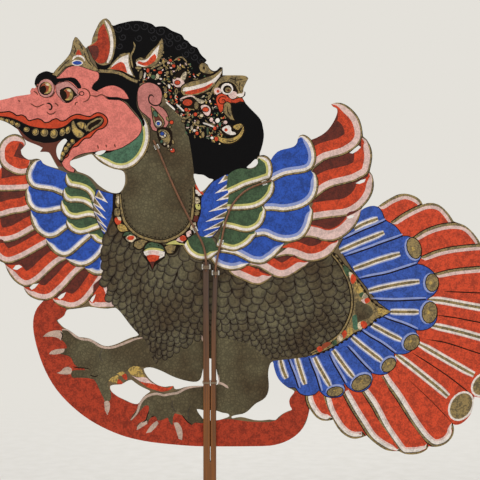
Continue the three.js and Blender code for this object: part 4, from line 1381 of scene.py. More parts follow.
NEAR_LID = (
    "55.6,88 56,84.6 60.6,82.4 68,81.4 74.4,86 78.6,90 | 78,93.2 80,95 75.6,98 71.8,101.2 68,103.2 63,102"
    " 60.4,98.4 57.6,95.4 56,91.8"
)
NEAR_EYE_RIM = (
    "60,90 63.6,88 68,86.8 72,88.4 74.6,91.6 78.2,95.4 | 74.4,97 71.8,100.6 68,102.8 64.2,101.4 61.6,98.2"
    " 59.8,94"
)
# The near eye and the curl at its corner; the cream oval on the iris is a painted highlight
NEAR_EYE = (
    ("bright_gold", 68, 94.6, 5.3, 6.1, 0), ("amber", 66.2, 94.4, 3.7, 5.1, 15),
    ("ink", 64, 95, 2.9, 4.6, -15), ("cream", 69.4, 90.8, 2.2, 1.1, 15), ("ink", 81.8, 93.6, 2.7, 2.4, 0),
    ("skin", 81.8, 93.6, 1.7, 1.5, 0),
)


class PUPPET_OT_face(bpy.types.Operator):
    """Paint the face, brows and eyes"""

    bl_idname = "puppet.face"
    bl_label = "Face"

    def execute(self, context):
        chin = Coat("chin_crescent")
        feather_rows(chin, -1, (CHIN,))
        chin.ribbon(line(CHIN_SEAM), ("ink", 2.8), start=0.3, end=0.2)
        chin.make()
        face = Coat("face")
        face.outlined("skin", SKIN, 0.7)
        face.leaves(("black", FAR_BROW, TEMPLE), ("skin", CHEEKBONE))
        face.gems(0, *FACE_EYES)
        face.outlined("lid", NEAR_LID)
        face.leaves(("ink", NEAR_EYE_RIM), ("black", NEAR_BROW))
        face.gems(0, *NEAR_EYE)
        face.lines("brown", 1.2, *FACE_FOLDS)
        face.lines("ink", 1.7, NOSTRIL)
        face.lines("brown", 1.3, *CHIN_FOLDS)
        face.make()
        return {"FINISHED"}


LIP_TOP = (
    "-14,110.4 -6,110.8 0,111.7 5,111.5 9,111 14,112.8 17,115 22,114.5 26,116.5 29,120 34,119 38,118.2"
    " 42,119.5 45,122 49,121.5 52,119.5 57,118.2 61,120.5 65,120 69,117 74,114.5 79,113.8 85,115.3 90,116"
    " 94,113.5 98,112.2 103,113.5 107,117 108.4,121 107,125.5 103,129 98,130.5 94,134.5 90,138.5 85.5,139"
    " 81.5,142.5 78,146.5 73,148.2 70,152.5 68.5,156.5 64.5,159.5 62,163.4"
)
LIP_BOTTOM = (
    "61,161.6 63.5,157.5 67,153.5 70.5,149 73,144.5 77,141 81,137.5 86,134.5 90,131.5 96,128 101,124.5"
    " 103,121 101.5,118 98,117.2 94,119 88,120.7 82,120.5 76,119.7 73,121 70,123.5 67,126 63,128 58,129.3"
    " 52,129.6 44,129.3 36,128.3 30,127 24,124.5 18,121.5 12,119.2 6,117.7 0,117.2 -6,115 -13,113.4"
)
THROAT = (
    "-15,112 20,118 60,128 74,120 100,117 | 101,124 90,132 78,142 68,154 61,163 | 58,160 60,148 58,144"
    " 44,143 26,138 12,130 -8,123 -16,119"
)
TONGUE = (
    "16,126 21,131 26,136 32,140 40,142.6 48,143 56,142 62,140 66,142 | 61,148 58,156 60,162 64,167 |"
    " 58,166 53,158 49,153 44,152.6 39,152.4 | 43,148 36,146 29,142.6 22,137 17,130"
)
TEETH = (
    (-9, 116.4, 2.4, 2, 10), (-4, 118, 2.4, 2, 10), (2, 119.6, 2.6, 2.2, 8), (7.4, 121, 2.6, 2.2, 15),
    (12.4, 122.8, 2.6, 2.4, 20), (17.6, 125, 2.8, 2.4, 25), (26.6, 129.4, 3, 2.6, 15),
    (35.6, 132, 3.4, 3.6, 0), (44.6, 132.8, 3.8, 3.8, 0), (54, 133.8, 3.8, 4.6, 10),
    (62.4, 132.2, 2.8, 4, 15), (68, 130, 2.4, 4, 20), (72.6, 141.6, 2.4, 2.6, 0), (69, 145, 2.4, 2.4, 0),
    (66, 149.4, 2.4, 3, 10), (63, 154, 2, 2.6, 10), (61.6, 158.6, 1.6, 2.4, 0),
)
TOOTH_GLINT = 0.66  # the lit part of a tooth, as a share of its half widths
GLINT_LEFT, GLINT_UP = 0.4, 0.5  # squares that it lies off the tooth's middle
FANGS = (
    "71,126 71.6,121.6 74,120.6 76,124.6 78,128 81.6,130.4 85,133.4 | 83,137.6 78,138.4 74,135 71.6,131",
    "76.4,123.6 80,121.4 84.6,122.4 85.4,126 82.6,129.6 79,127.6", "85,123 90,129.6 | 86.6,132.4 83,128",
)
LIP_FOLD = "86.4,128 88,123.6 93,120.4 98,118 102,118.4 103,121 99.6,125 94,128.4 89.6,131.6"


class PUPPET_OT_mouth(bpy.types.Operator):
    """Paint the lips, teeth and fangs"""

    bl_idname = "puppet.mouth"
    bl_label = "Mouth"

    def execute(self, context):
        mouth = Coat("mouth")
        mouth.leaves(("black", THROAT), ("brown", TONGUE))
        mouth.outlined("lip", f"{LIP_TOP}|{LIP_BOTTOM}", 1.2)
        for column, row, across, down, tilt in TEETH:
            middle = (column - GLINT_LEFT, row - GLINT_UP)
            glint = ("bright_gold", *middle, across * TOOTH_GLINT, down * TOOTH_GLINT, tilt)
            mouth.gems(0.5, ("gold", column, row, across, down, tilt), glint)
        for fang in FANGS:
            mouth.bands(loop(fang), ("ink", 0), ("gold", 0.6), ("bright_gold", 1.5))
        mouth.bands(loop(LIP_FOLD), ("gold", 0), ("ink", 1.6))
        mouth.make()
        return {"FINISHED"}


HAIR = (
    "86,40 112,18 160,18 210,50 225,66 | 262,100 268,140 262,160 240,172 214,182 196,178 188,150 | 184,120"
    " 150,84 120,78 100,74"
)
CURLS = (
    (119, 29, 4.2), (127, 26, 4.4), (136, 27, 5), (145, 26, 4.4), (152, 30, 4), (161, 31, 5),
    (170, 36, 4.6), (178, 38, 4.2), (184, 45, 4.4), (192, 50, 4), (195, 57, 4), (201, 61, 3.6),
    (170, 43, 4.2), (123, 37, 4), (139, 38, 4), (154, 38, 3.6), (186, 54, 4), (120, 46, 3.6),
    (163, 41, 3.6), (179, 47, 3.6),
)
CURL_STEP = 0.6  # radians
CURL_START, CURL_END = 3, 16  # steps from the curl's middle at which its line starts and ends


class PUPPET_OT_hair(bpy.types.Operator):
    """Paint the hair and its curls"""

    bl_idname = "puppet.hair"
    bl_label = "Hair"

    def execute(self, context):
        hair = Coat("hair")
        hair.leaves(("black", HAIR))
        for column, row, size in CURLS:
            curl = []
            for step in range(CURL_START, CURL_END + 1):
                angle, reach = step * CURL_STEP, step / CURL_END
                x, y = math.cos(angle), math.sin(angle)
                curl.append(Vector((column + x * size * reach, row + y * size * reach)))
            hair.ribbon(curl, ("curl_grey", 0.9), start=0.4, end=0.4)
        hair.make()
        return {"FINISHED"}


EAR = (
    "137,92 138.6,87.4 143,83.6 148.6,82 154,83.2 159,86.4 162,91 162.6,97 161.4,102 159.6,105.6 163,107.6"
    " 167,112.4 169,118 169,123 166.6,127.6 162.6,130.8 157.4,132 152.4,130.6 | 150,126 150,119.6 |"
    " 146,116 141,112 138,107 136.8,100"
)
EAR_HOLE = (
    "150.8,106 153.6,107.6 157,111 161,115.6 164.4,120.4 164.6,125 161.6,128.4 157.6,129 154.4,126"
    " 152.6,120 151.6,113"
)
EAR_FOLD = "154,97.2 152,95.2 150,95.4 148.8,98 149.4,102 152,104.6 156,105.6 160,104.4 162,102"
EAR_PENDANT = (
    ("ink", "157,129 164,127 171,130 172.6,138 171,146 164,147 159,141"),
    ("gold", "158.6,131 162,129.6 167,131 170,136 169.6,142 166,145 162,140"),
)
EAR_JEWELS = (
    ("chin_green", 155.4, 114, 1.8, 3.2, -25), ("white", 158.6, 123.6, 3, 2.9, 0),
    ("cream", 163, 134.6, 3.6, 3.4, 0), ("blue", 162.2, 133.8, 1.7, 1.7, 0),
    ("white", 165, 135.6, 0.9, 1.2, 0), ("blue", 158.4, 123.7, 1.4, 1.5, 0),
    ("red", 171.6, 122.4, 1.7, 1.8, 20), ("gold", 167.6, 119, 1, 2, -20),
    ("cream", 164.8, 144, 1.1, 1.4, 10), ("cream", 168.2, 146.2, 1, 1.3, 0),
    ("gold", 170, 127, 1.3, 1.1, 0), ("chin_green", 161.6, 141.6, 1.2, 1.5, 30),
    ("gold", 169.4, 149.6, 1.2, 1, 0), ("red", 172.4, 150.4, 2.6, 2, 25),
    ("pink", 171.4, 149.6, 0.8, 0.7, 0), ("gold", 173, 142, 0.9, 2.4, -10),
)


class PUPPET_OT_ear(bpy.types.Operator):
    """Paint the ear and its jewels"""

    bl_idname = "puppet.ear"
    bl_label = "Ear"

    def execute(self, context):
        ear = Coat("ear")
        ear.outlined("ear", EAR, 0.8)
        ear.lines("ink", 1.4, EAR_FOLD)
        ear.bands(loop(EAR_HOLE), ("ink", 0), ("gold", 0.9), ("brown", 2))
        ear.leaves(*EAR_PENDANT)
        ear.gems(0.6, *EAR_JEWELS)
        ear.make()
        return {"FINISHED"}


# Crown

CROWN_GROUND = (
    "99,70 134,66 144,62 160,50 176,54 186,60 | 196,66 214,76 232,90 242,100 234,122 224,144 | 210,141"
    " 200,139 188,136 184,124 176,110 166,100 164,92 158,85 148,81 138,84 120,78 99,74"
)
FRONT_LEAF = (
    "52,75 57,68 61.6,63 66,58 70,53 72,46 73,41 75.6,36 | 79,39 83,44.4 87,48.6 | 89,55 91,61 95,66"
    " 100,70.6 | 95,71.6 88,69.4 80,66.6 72,65.8 66,67.8 61,72.4 57,77"
)
FRONT_VEINS = ("58,71.6 64,64.6 70,59.6", "84,52 87,60 92,66", "74,45 75.6,50 74,55", "80,44 83,50")
FRONT_PEAK = "76.2,55 78.6,49.6 81.6,55"
FRONT_ARCH = "72.6,60 75,57 79,56 83,57.6 85,61"
FRONT_JEWEL = (77.4, 63, 5.6, 3)
TALL_LEAF = (
    "106.4,17 102.6,18.6 99,22.4 96.6,27.4 94,33.4 91.6,39 90,43.6 87,46 | 90,52 93,58.6 98,64.6 104,66"
    " 111,64 | 114,57 116,48 116.4,39 114.6,30 111.6,23"
)
TALL_FILLS = (
    ("ground_red", "104,23.6 100,28 98,34 97.4,40 93,44.4 88.4,46.8 | 90.6,52 94,59 99,63.4 105,62.6"
                   " 108.6,56 110,46 108.6,36"),
    ("maroon", "88.8,47 93,45.6 97.4,46.4 99,51 97.6,57.6 95.4,60.6 | 92,55"),
)
TALL_EDGE = "105,20.6 108.6,27 111,35 112,44 111,54 107.6,63"
LOW_LEAF = (
    "107,69.6 112,63 117,57.6 121.4,53.6 130.4,52.6 | 130,60 131.4,67 135.4,78 | 129,75.4 122,71.4 113,70.4"
)
LOW_FILLS = (
    ("white", "112,65.6 116.6,61 121,57.6 128.6,54.6 | 128.4,62 130,69 133,76 | 127,73 120,70 111,69"),
    ("tail_red", "110,68.6 115.6,64.6 121,62 124.4,64 126,68.4 127.4,73 | 121,70.6 114,69.6"),
)
THIN_LEAF = "133.6,42 134.8,46 133.4,51 131,56 131.6,62 133,68"
CROWN_BAND = "99,71 106,71.4 114,72 122,74.4 130,79 138,82"
CROWN_FIELD = (
    "134,66 146,62 160,52 174,57 188,62 | 196,72 214,80 226,90 | 234,122 222,146 | 210,141 200,139 188,136"
    " 184,124 176,110 166,100 164,92 158,85 148,81 140,84"
)
FLECKS = ("gold", "gold", "gold", "gold", "bright_gold", "bright_gold", "cream", "green", "red", "pink")
FLECK_COUNT = 1000
FLECK_SEED = 11
FLECK_COLUMNS, FLECK_ROWS = (134, 226), (52, 144)
FLECK_LENGTHS, FLECK_WIDTHS = (0.7, 2), (0.45, 0.9)
CROWN_LEAVES = (
    ("ink", "134,60 147,55 158,43 163,38 | 162.6,52 158,64 147,69 136,66"),
    ("gold", "162,38.6 158,44.6 152,50 147.4,55.6 144.6,59 140.6,57.6 136,60.6 138.6,65.4 145,67.6"
             " 152.6,66.4 158,62.6 161.4,56 163.4,49"),
    ("white", "159.6,44.6 154,51 149,57.6 144,60.4 139,60.6 136,62.6 | 137,66 145,66.6 152,63 157,58"),
    ("red", "155,54 156.5,57 155,61 151,64 146,66 141,65 137,63 | 139,61 143,62.5 147,61.5 150,58"
            " 152.5,55.5"),
    ("ink", "174,76 184,70 189,78 185,89 175,88"),
    ("pink", "173,79 178,78 183,80 184.4,84 181,87 175,86.4"),
    ("cream", "180.6,79 182.6,74 186,71.6 186.4,76 184,80.6"),
    ("ink", "179,93 182,85 196,80 210,75 219,70 223,66 | 223,74 218,84 208,92 196,97 184,97"),
    ("gold", "181,92 182,86.6 190,82.4 200,80 208,77 214,75 218,72 222,68.5 | 222,73 217,81 212,87.6"
             " 204,92.4 194,95.4 184,95.4"),
    ("white", "182.6,91 184,88 190,87 200,84.5 208,82 214,78.5 218,75 222,71 | 219.6,77 214,83 204,88"
              " 190,92"),
    ("red", "185,92 190,90.5 197,89 204,87 208,85 214,82 | 210,87 204,91 197,93.5 190,94.5 185,94"),
    ("ink", "180,103 186,97.4 194,96 200,97.6 205,103 | 200,110 190,108.6 183,108"),
    ("cream", "193,97 199,99 204,101 203,104 199,103 196,100"),
    ("ink", "199.6,105 206,103.4 212,107.6 212,113 208,118 203,116"),
    ("pink", "201,106 206,105 210,108 210.5,112 208,116 205,114.5 202,110"),
    ("ink", "198,66 202,61.6 209,65 217,72 | 211,76 203,75"),
    ("gold", "199,67 201,64 204,63.4 207.6,66 210,70 214,72.6 | 210,74 204,73 200.4,71"),
    ("ink", "211.4,92 216,82 222,75 234,72.6 250,75.6 | 247.4,84 244,91 | 245,98 236,103 226,99 216,98"),
    ("gold", "216,84 222,77 234,74.6 249,76.6 | 246,83 243,90 | 242,97 234,100 226,98 216,97 213,91"),
    ("ink", "216,91 220,84 227,81.6 234,84 238,91 | 236.6,99 226,98 214,97"),
    ("pink", "228,92 236,92 237,96 234,99 230,98", "214.6,88.6 219,88 221.6,91.6 219,95 215,93.6"),
    ("white", "236.5,95 239,93.6 242,93.4 244,90.6 244.4,93.4 243,96.4 239.6,97"),
    ("ink", "215,101 217,95 221,93 226,94.4 232,99 238,97.4 243,98 246,103 | 238,104 231,104 226,109"
            " 220.6,114"),
    ("red", "216,100 217.6,96 221,94 225,94.8 229,98 233,100 238,98.4 242,98.6 244,102 | 240,101.4 236,103"
            " 231,102.6 227,105 223,110 220.6,112.4 218,107"),
    ("ink", "223.6,103 228,101.4 231.6,105 232.4,111 235.6,122 | 229,120 225,116 222.6,111"),
    ("gold", "224.6,103 228,102.4 230.6,105 231,110 232.4,116 234.4,120.4 | 230,119 226,115 223.4,111"),
    ("ink", "216,134 222,137 230,137.6 237,134.6 241,129 243.6,124 | 245.6,131 242,138 236,143 228,145"
            " 220,143"),
    ("bright_gold", "217,135.4 222,138 230,138.5 237,136 241,131 243.5,126 | 244,131 241,137 236,141"
                    " 229,143.5 222,142.5 217,139"),
    ("ink", "220,130 226,124 233,125 238,123 244.6,124.6 | 240,132 237,136 224,136"),
    ("white", "222,129 226,126 229,125.5 231,128 231.5,131 235,132.5 236,134 231,135 226,133"),
    ("bright_gold", "233,127 237,124.5 241,124 243,126 240,128.5 237,130"),
)
CROWN_GEMS = (
    ("gold", 138.5, 68, 3.2, 1.4, 0), ("gold", 141, 75, 1.5, 4.2, 10),
    ("white", 144.8, 75.6, 0.8, 3.2, 10), ("red", 148, 70.6, 1.5, 2.2, 0),
    ("gold", 160, 68.4, 3, 1.2, -20), ("gold", 150, 75, 1.2, 2.6, -20), ("green", 153.4, 77, 2.2, 2, 0),
    ("cream", 157.6, 76.4, 1.6, 2.8, 0), ("red", 160.2, 72.6, 2, 1.6, 0),
    ("white", 160.8, 79, 1.4, 0.9, 0), ("red", 170.4, 60.5, 1.6, 1.4, 0), ("pink", 168.6, 63, 1.4, 1.2, 0),
    ("red", 173.7, 66, 1.7, 1.6, 0), ("pink", 171, 68, 1.4, 0.8, 0), ("gold", 167.4, 73, 1.4, 2, 20),
    ("gold", 171.6, 73, 1, 2.6, -15), ("red", 177.4, 82.7, 2.6, 2, 0),
    ("white", 169.2, 86.4, 1.2, 2.2, -15), ("gold", 165.4, 89.4, 1.6, 2.4, 0),
    ("bright_gold", 165.6, 95.6, 1.6, 2.4, 0), ("gold", 176.4, 91.4, 1.6, 3, 0),
    ("red", 170.8, 97, 1, 1.5, 0), ("red", 187.6, 102.6, 4.8, 3.2, 0), ("gold", 196.4, 105.5, 2, 3.8, 0),
    ("red", 205.6, 109.6, 3, 2.2, 0), ("maroon", 177, 112, 1.6, 1.6, 0),
    ("red", 186.3, 109.8, 1.8, 1.6, 0), ("red", 195.4, 114.4, 1.8, 1.8, 0),
    ("cream", 201.6, 115.6, 1.8, 1.6, 0), ("gold", 183.4, 121, 1.8, 1.4, 0),
    ("green", 187.8, 125, 1.4, 1.6, 0), ("cream", 191.8, 128, 1.2, 2.2, 0),
    ("white", 194.4, 130.6, 1.4, 1.4, 0), ("red", 197, 133.4, 1.6, 1.8, 0),
    ("gold", 198, 122.4, 1.6, 2, 0), ("pink", 211.4, 119.8, 1.8, 2.2, 0),
    ("white", 217.6, 120.6, 2.2, 2.4, 20), ("red", 214.8, 128.4, 1.5, 1.9, 0),
    ("chin_green", 220, 124.4, 1.2, 2.2, 0), ("pink", 225.4, 122.4, 2, 1.8, 0),
    ("gold", 203, 134.6, 1.4, 3, 0), ("green", 207.6, 131, 1, 4, 0), ("white", 212, 138, 1.6, 1.4, 0),
    ("red", 216.4, 139, 1.8, 2.2, 0), ("gold", 172, 103, 1.4, 1, 30), ("gold", 190, 119.6, 1.4, 1, 0),
    ("cream", 181, 116, 1, 1.4, 0), ("gold", 174.6, 78, 1.2, 1, 0),
)
CROWN_HOLES = (("ink", 204, 68, 1, 1.4, 0), ("ink", 176.4, 91.4, 0.7, 1.6, 0))
CROWN_LINES = (
    ("gold", 2, "151,69 156,66 161,64 166,61", "216,84 213,90 210,96 208,100"),
    ("gold", 1.4, "174,61 178,58 182,57.4 185,60 187,62", "175,112 179,116 184,118.4 188,117.6 191,115.6",
     "192,122 198,126 206,126.6", "205,120 209,124 214,124"),
    ("pink", 1.4, "180,99.5 184,97.5 190,96 195,97"),
    ("white", 1.6, "166,102 170,105.4 175,110", "176.5,104.5 180,107.6 184,111.5",
     "203,123 208,124.6 214,127"),
)
LITTLE_HEAD_LINES = (
    "226,98 223.6,96.6 220,97.6 218.6,100.6 220,103.6 223,104 225.2,102 224.4,99.8 222.4,99.8 221.8,101.4",
    "236,77 235,82 238,86", "229,78 236,80 243,79.4", "240,82 239,88 241,93", "226,141 232,141.6 238,139",
    "227,106 228,112 231,117",
)
LITTLE_HEAD_GEMS = (
    ("white", 227, 89, 6.2, 5.8, 0), ("ink", 227.4, 89.4, 4.4, 4, 0), ("gold", 228, 90, 3, 2.4, 0),
    ("brown", 228.4, 90.4, 1.4, 1.2, 0), ("red", 218, 91.4, 1.5, 1.5, 0), ("red", 226, 130, 1.7, 1.7, 0),
    ("ink", 233.6, 130, 1.8, 1.6, 0),
)


def lay_front(crown):
    """Lays the three upright leaves over the brow and the band under them."""
    crown.outlined("gold", FRONT_LEAF)
    crown.lines("ink", 0.9, *FRONT_VEINS)
    crown.leaves(("red", FRONT_PEAK))
    crown.lines("white", 1.8, FRONT_ARCH)
    crown.bands(oval(*FRONT_JEWEL), ("white", 0), ("blue", 1))
    crown.outlined("gold", TALL_LEAF)
    crown.leaves(*TALL_FILLS)
    crown.ribbon(line(TALL_EDGE), ("white", 3), start=0.3, end=0.6)
    crown.outlined("gold", LOW_LEAF, 0.5)
    crown.leaves(*LOW_FILLS)
    crown.lines("gold", 1.6, THIN_LEAF)
    crown.bands(stroke(line(CROWN_BAND), 4), ("ink", 0), ("gold", 0.6))


def lay_flecks(crown):
    """Strews the dense carving of the crown's back with small dabs."""
    field = loop(CROWN_FIELD)
    dice = random.Random(FLECK_SEED)
    for _ in range(FLECK_COUNT):
        column, row = dice.uniform(*FLECK_COLUMNS), dice.uniform(*FLECK_ROWS)
        if covers(field, column, row):
            size = (dice.uniform(*FLECK_LENGTHS), dice.uniform(*FLECK_WIDTHS))
            paint = dice.choice(FLECKS)
            crown.fill(paint, oval(column, row, *size, dice.uniform(0, 180), FLECK_CORNERS))


def lay_back(crown):
    """Lays the leaves and jewels of the crown's back and the little bird head."""
    crown.leaves(*CROWN_LEAVES)
    crown.gems(0.7, *CROWN_GEMS)
    crown.gems(0, *CROWN_HOLES)
    for paint, width, *texts in CROWN_LINES:
        crown.lines(paint, width, *texts)
    crown.gems(0, *LITTLE_HEAD_GEMS)
    crown.lines("ink", 0.9, *LITTLE_HEAD_LINES)


class PUPPET_OT_crown(bpy.types.Operator):
    """Paint the crown: leaves, jewels and the small bird head behind"""

    bl_idname = "puppet.crown"
    bl_label = "Crown"

    def execute(self, context):
        crown = Coat("crown")
        crown.leaves(("black", CROWN_GROUND))
        lay_front(crown)
        lay_flecks(crown)
        lay_back(crown)
        crown.make()
        return {"FINISHED"}


# Rod, splints and threads

THREAD_CORNERS = 6  # corners of a ring of the plain windings
THREAD_SIDES = 12
THREAD_STEPS = 3  # rings of the finer thread to each plain one
PLY_PITCH = 0.0035  # metres along the thread for one turn of its two plies
PLY_DEPTH = 0.12  # how far the groove between the plies goes in, as a share


class PUPPET_OT_fittings(bpy.types.Operator):
    """Give the hide, rod, splints and threads their materials"""

    bl_idname = "puppet.fittings"
    bl_label = "Rod, splints and threads"

    def execute(self, context):
        finishes = {
            "hide_figure": scraped_rawhide(),
            "split_rod": oiled_bamboo(),
            "splint": split_cane(),
            "thread": cotton_thread(),
        }
        for name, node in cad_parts.items():
            kind = next((key for key in finishes if key in name), "thread")
            node.data.materials.clear()
            node.data.materials.append(finishes[kind])
        return {"FINISHED"}


def thread_centres(mesh):
    """The middle of each six-cornered ring of a plain winding, in order, and the rings' radius."""
    numbers = welded(mesh)
    places = {number: mesh.vertices[number].co for number in numbers}
    near = {number: set() for number in places}
    missing = dict.fromkeys(places, 2 * math.pi)  # what the angles round a corner lack of a full turn
    for polygon in mesh.polygons:
        ring = [numbers[i] for i in polygon.vertices]
        for before, here, after in zip(ring[-1:] + ring[:-1], ring, ring[1:] + ring[:1]):
            near[here] |= {before, after}
            missing[here] -= (places[before] - places[here]).angle(places[after] - places[here], 0)
    ends = sorted(missing, key=missing.get)[-2 * THREAD_CORNERS :]
    ring = sorted(ends, key=lambda end: (places[end] - places[ends[0]]).length)[:THREAD_CORNERS]
    first = ring[0]
    seen, centres = set(ring), []
    while ring:
        if len(ring) != THREAD_CORNERS:
            raise RuntimeError("a ring of a winding is not whole")
        centres.append(sum((places[here] for here in ring), Vector()) / THREAD_CORNERS)
        ring = sorted({there for here in ring for there in near[here]} - seen)
        seen |= set(ring)
    return centres, (places[first] - centres[0]).length


def twisted_thread(name, centres, radius):
    """A closed mesh of a two-ply thread along the path of a plain winding."""
    path = []
    for a, b in zip(centres, centres[1:]):
        path += [a.lerp(b, step / THREAD_STEPS) for step in range(THREAD_STEPS)]
    path.append(centres[-1])
    heading = (path[1] - path[0]).normalized()
    side = heading.orthogonal().normalized()
    vertices, run = [], 0.0
    for i, centre in enumerate(path):
        ahead = (path[min(i + 1, len(path) - 1)] - path[max(i - 1, 0)]).normalized()
        side = heading.rotation_difference(ahead) @ side
        heading = ahead
        up = heading.cross(side)
        run += (centre - path[max(i - 1, 0)]).length
        for k in range(THREAD_SIDES):
            angle = 2 * math.pi * k / THREAD_SIDES
            groove = math.cos(2 * (angle - 2 * math.pi * run / PLY_PITCH))
            reach = radius * (1 - PLY_DEPTH + PLY_DEPTH * groove)
            vertices.append(centre + (side * math.cos(angle) + up * math.sin(angle)) * reach)
    faces = [tuple(reversed(range(THREAD_SIDES))), tuple(range(len(vertices) - THREAD_SIDES, len(vertices)))]
    for i in range(len(path) - 1):
        for k in range(THREAD_SIDES):
            a, b = i * THREAD_SIDES + k, i * THREAD_SIDES + (k + 1) % THREAD_SIDES
            faces.append((a, b, b + THREAD_SIDES, a + THREAD_SIDES))
    piece = new_piece(name, vertices, faces)
    piece.data.polygons.foreach_set("use_smooth", [True] * len(faces))
    piece.data.update()
    return piece


class PUPPET_OT_threads(bpy.types.Operator):
    """Wind each binding and tie from twisted cotton thread"""

    bl_idname = "puppet.threads"
    bl_label = "Thread windings"

    def execute(self, context):
        for name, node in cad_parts.items():
            if name.endswith(("_binding", "_tie")):
                piece = twisted_thread(f"{name}_thread", *thread_centres(node.data))
                piece.data.materials.append(node.data.materials[0])
                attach(piece, "root")
                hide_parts(name)
        return {"FINISHED"}


# Stage

FLOOR_RADIUS = 8.0  # metres
FLOOR_SIDES = 96
FADE_START, FADE_END = 0.7, 2.4  # metres from the rod between which the floor fades into the room
PAPER_CLOUD = 1 / 30  # metres across a cloud of fibres in the paper
PAPER_LIGHT, PAPER_DARK = "#e9e6e0", "#e2dfd8"
CLOUD_LOW, CLOUD_HIGH = 0.3, 0.7
ROOM_COLOUR = "#e4e1da"
ROOM_LIGHT = 0.62  # light from the room all round, where 1 would be white
LAMP_SIZE = 1.6  # metres
PAPER_ROUGHNESS = 0.9
# Each lamp's name, its place in metres and its watts
LAMPS = (
    ("left_lamp", (-1.4, -2.0, 1.9), 26),
    ("right_lamp", (1.6, -2.2, 1.2), 15),
    ("back_lamp", (0.4, 2.4, 2.0), 22),
)


def seen_share(tree):
    """1 for what the eye, a gloss or a clear body shows of the room, else 0."""
    path = add_node(tree, "ShaderNodeLightPath")
    share = path.outputs["Is Camera Ray"]
    for kind in ("Is Glossy Ray", "Is Transmission Ray"):
        both = add_node(tree, "ShaderNodeMath", {"operation": "MAXIMUM"}, n0=share, n1=path.outputs[kind])
        share = both.outputs[0]
    return share


def matt_paper():
    """Matt paper on the floor: it takes the shadow near the puppet and fades into the room far off."""
    material, tree, place = new_material("matt_paper")
    share = ranged(tree, noise(tree, place, PAPER_CLOUD, PAPER_DETAIL), CLOUD_LOW, CLOUD_HIGH)
    colour = mixed(tree, share, linear(PAPER_LIGHT), linear(PAPER_DARK))
    paper = add_node(tree, "ShaderNodeBsdfPrincipled", Base_Color=colour, Roughness=PAPER_ROUGHNESS)
    far = add_node(tree, "ShaderNodeEmission", Color=linear(ROOM_COLOUR), Strength=1)
    away = add_node(tree, "ShaderNodeVectorMath", {"operation": "LENGTH"}, n0=place).outputs["Value"]
    fade = ranged(tree, away, FADE_START, FADE_END, interpolation_type="SMOOTHSTEP")
    both = add_node(tree, "ShaderNodeMath", {"operation": "MULTIPLY"}, n0=fade, n1=seen_share(tree))
    shader = add_node(tree, "ShaderNodeMixShader", n0=both.outputs[0], n1=paper.outputs[0], n2=far.outputs[0])
    add_node(tree, "ShaderNodeOutputMaterial", Surface=shader.outputs[0])
    return material


def place_camera(scene, middle):
    """The camera straight before the figure, as far off as fills the picture with it."""
    camera = bpy.data.objects.new("camera", bpy.data.cameras.new("camera"))
    camera.data.lens = sizes().lens
    distance = PICTURE_SQUARES * SQUARE * camera.data.lens / camera.data.sensor_width
    camera.location = (middle.x, -distance, middle.z)
    camera.rotation_euler = (math.pi / 2, 0, 0)
    scene.collection.objects.link(camera)
    scene.camera = camera


def lay_floor():
    """A round floor under the rod's end."""
    rim = [2 * math.pi * step / FLOOR_SIDES for step in range(FLOOR_SIDES)]
    corners = [(FLOOR_RADIUS * math.cos(angle), FLOOR_RADIUS * math.sin(angle), 0) for angle in rim]
    floor = new_piece("floor", corners, [tuple(range(FLOOR_SIDES))])
    floor.data.materials.append(matt_paper())


def hang_lamps(scene, middle):
    """Three soft lamps that aim at the figure."""
    for name, spot, power in LAMPS:
        lamp = bpy.data.objects.new(name, bpy.data.lights.new(name, "AREA"))
        lamp.data.energy = power
        lamp.data.size = LAMP_SIZE
        lamp.location = spot
        lamp.visible_camera = False
        lamp.rotation_euler = (middle - Vector(spot)).to_track_quat("-Z", "Y").to_euler()
        scene.collection.objects.link(lamp)


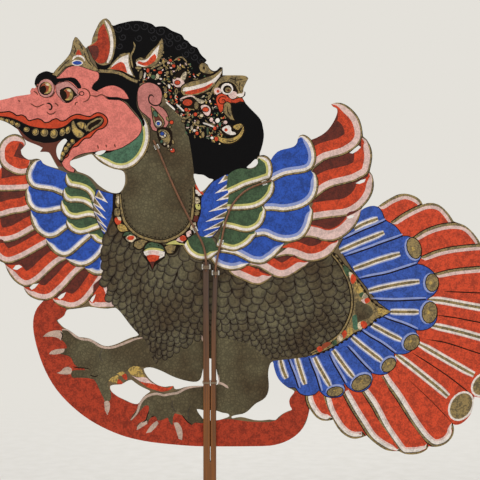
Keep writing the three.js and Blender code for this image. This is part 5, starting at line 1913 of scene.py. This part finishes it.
def light_room(scene):
    """Even light from all round, and the pale colour that the eye sees of the room."""
    world = bpy.data.worlds.new("room")
    world.use_nodes = True
    tree = world.node_tree
    tree.nodes.clear()
    light = add_node(tree, "ShaderNodeBackground", Color=(1, 1, 1, 1), Strength=ROOM_LIGHT)
    seen = add_node(tree, "ShaderNodeBackground", Color=linear(ROOM_COLOUR), Strength=1)
    both = add_node(tree, "ShaderNodeMixShader", n0=seen_share(tree), n1=light.outputs[0], n2=seen.outputs[0])
    add_node(tree, "ShaderNodeOutputWorld", Surface=both.outputs[0])
    scene.world = world


class PUPPET_OT_stage(bpy.types.Operator):
    """Set up the pale floor and room, the lamps and the camera"""

    bl_idname = "puppet.stage"
    bl_label = "Stage"

    def execute(self, context):
        scene = context.scene
        scene.view_settings.view_transform = "Standard"
        middle_x, middle_z = in_room(PICTURE_SQUARES / 2, PICTURE_SQUARES / 2)
        middle = Vector((middle_x, 0, middle_z))
        place_camera(scene, middle)
        lay_floor()
        hang_lamps(scene, middle)
        light_room(scene)
        return {"FINISHED"}


class PUPPET_PT_panel(bpy.types.Panel):
    """The puppet's pieces, in the order they are made"""

    bl_label = "Shadow puppet"
    bl_space_type = "VIEW_3D"
    bl_region_type = "UI"
    bl_category = "Shadow puppet"

    def draw(self, context):
        for operator in PIECES:
            self.layout.operator(operator.bl_idname)


PIECES = (
    PUPPET_OT_stage,
    PUPPET_OT_fittings,
    PUPPET_OT_threads,
    PUPPET_OT_ground,
    PUPPET_OT_body,
    PUPPET_OT_legs,
    PUPPET_OT_tail,
    PUPPET_OT_far_wing,
    PUPPET_OT_near_wing,
    PUPPET_OT_necklace,
    PUPPET_OT_hair,
    PUPPET_OT_face,
    PUPPET_OT_mouth,
    PUPPET_OT_ear,
    PUPPET_OT_crown,
)
CLASSES = (PuppetPaints, PuppetSizes, *PIECES, PUPPET_PT_panel)


def register():
    """Registers every class and hangs the settings on the scene."""
    for cls in CLASSES:
        bpy.utils.register_class(cls)
    bpy.types.Scene.puppet_paints = PointerProperty(type=PuppetPaints)
    bpy.types.Scene.puppet_sizes = PointerProperty(type=PuppetSizes)


def unregister():
    """Takes the settings and every class away again."""
    del bpy.types.Scene.puppet_paints
    del bpy.types.Scene.puppet_sizes
    for cls in reversed(CLASSES):
        bpy.utils.unregister_class(cls)


def main():
    """Makes every piece in order."""
    register()
    for operator in PIECES:
        getattr(bpy.ops.puppet, operator.bl_idname.split(".")[1])()


if __name__ == "__main__":
    main()
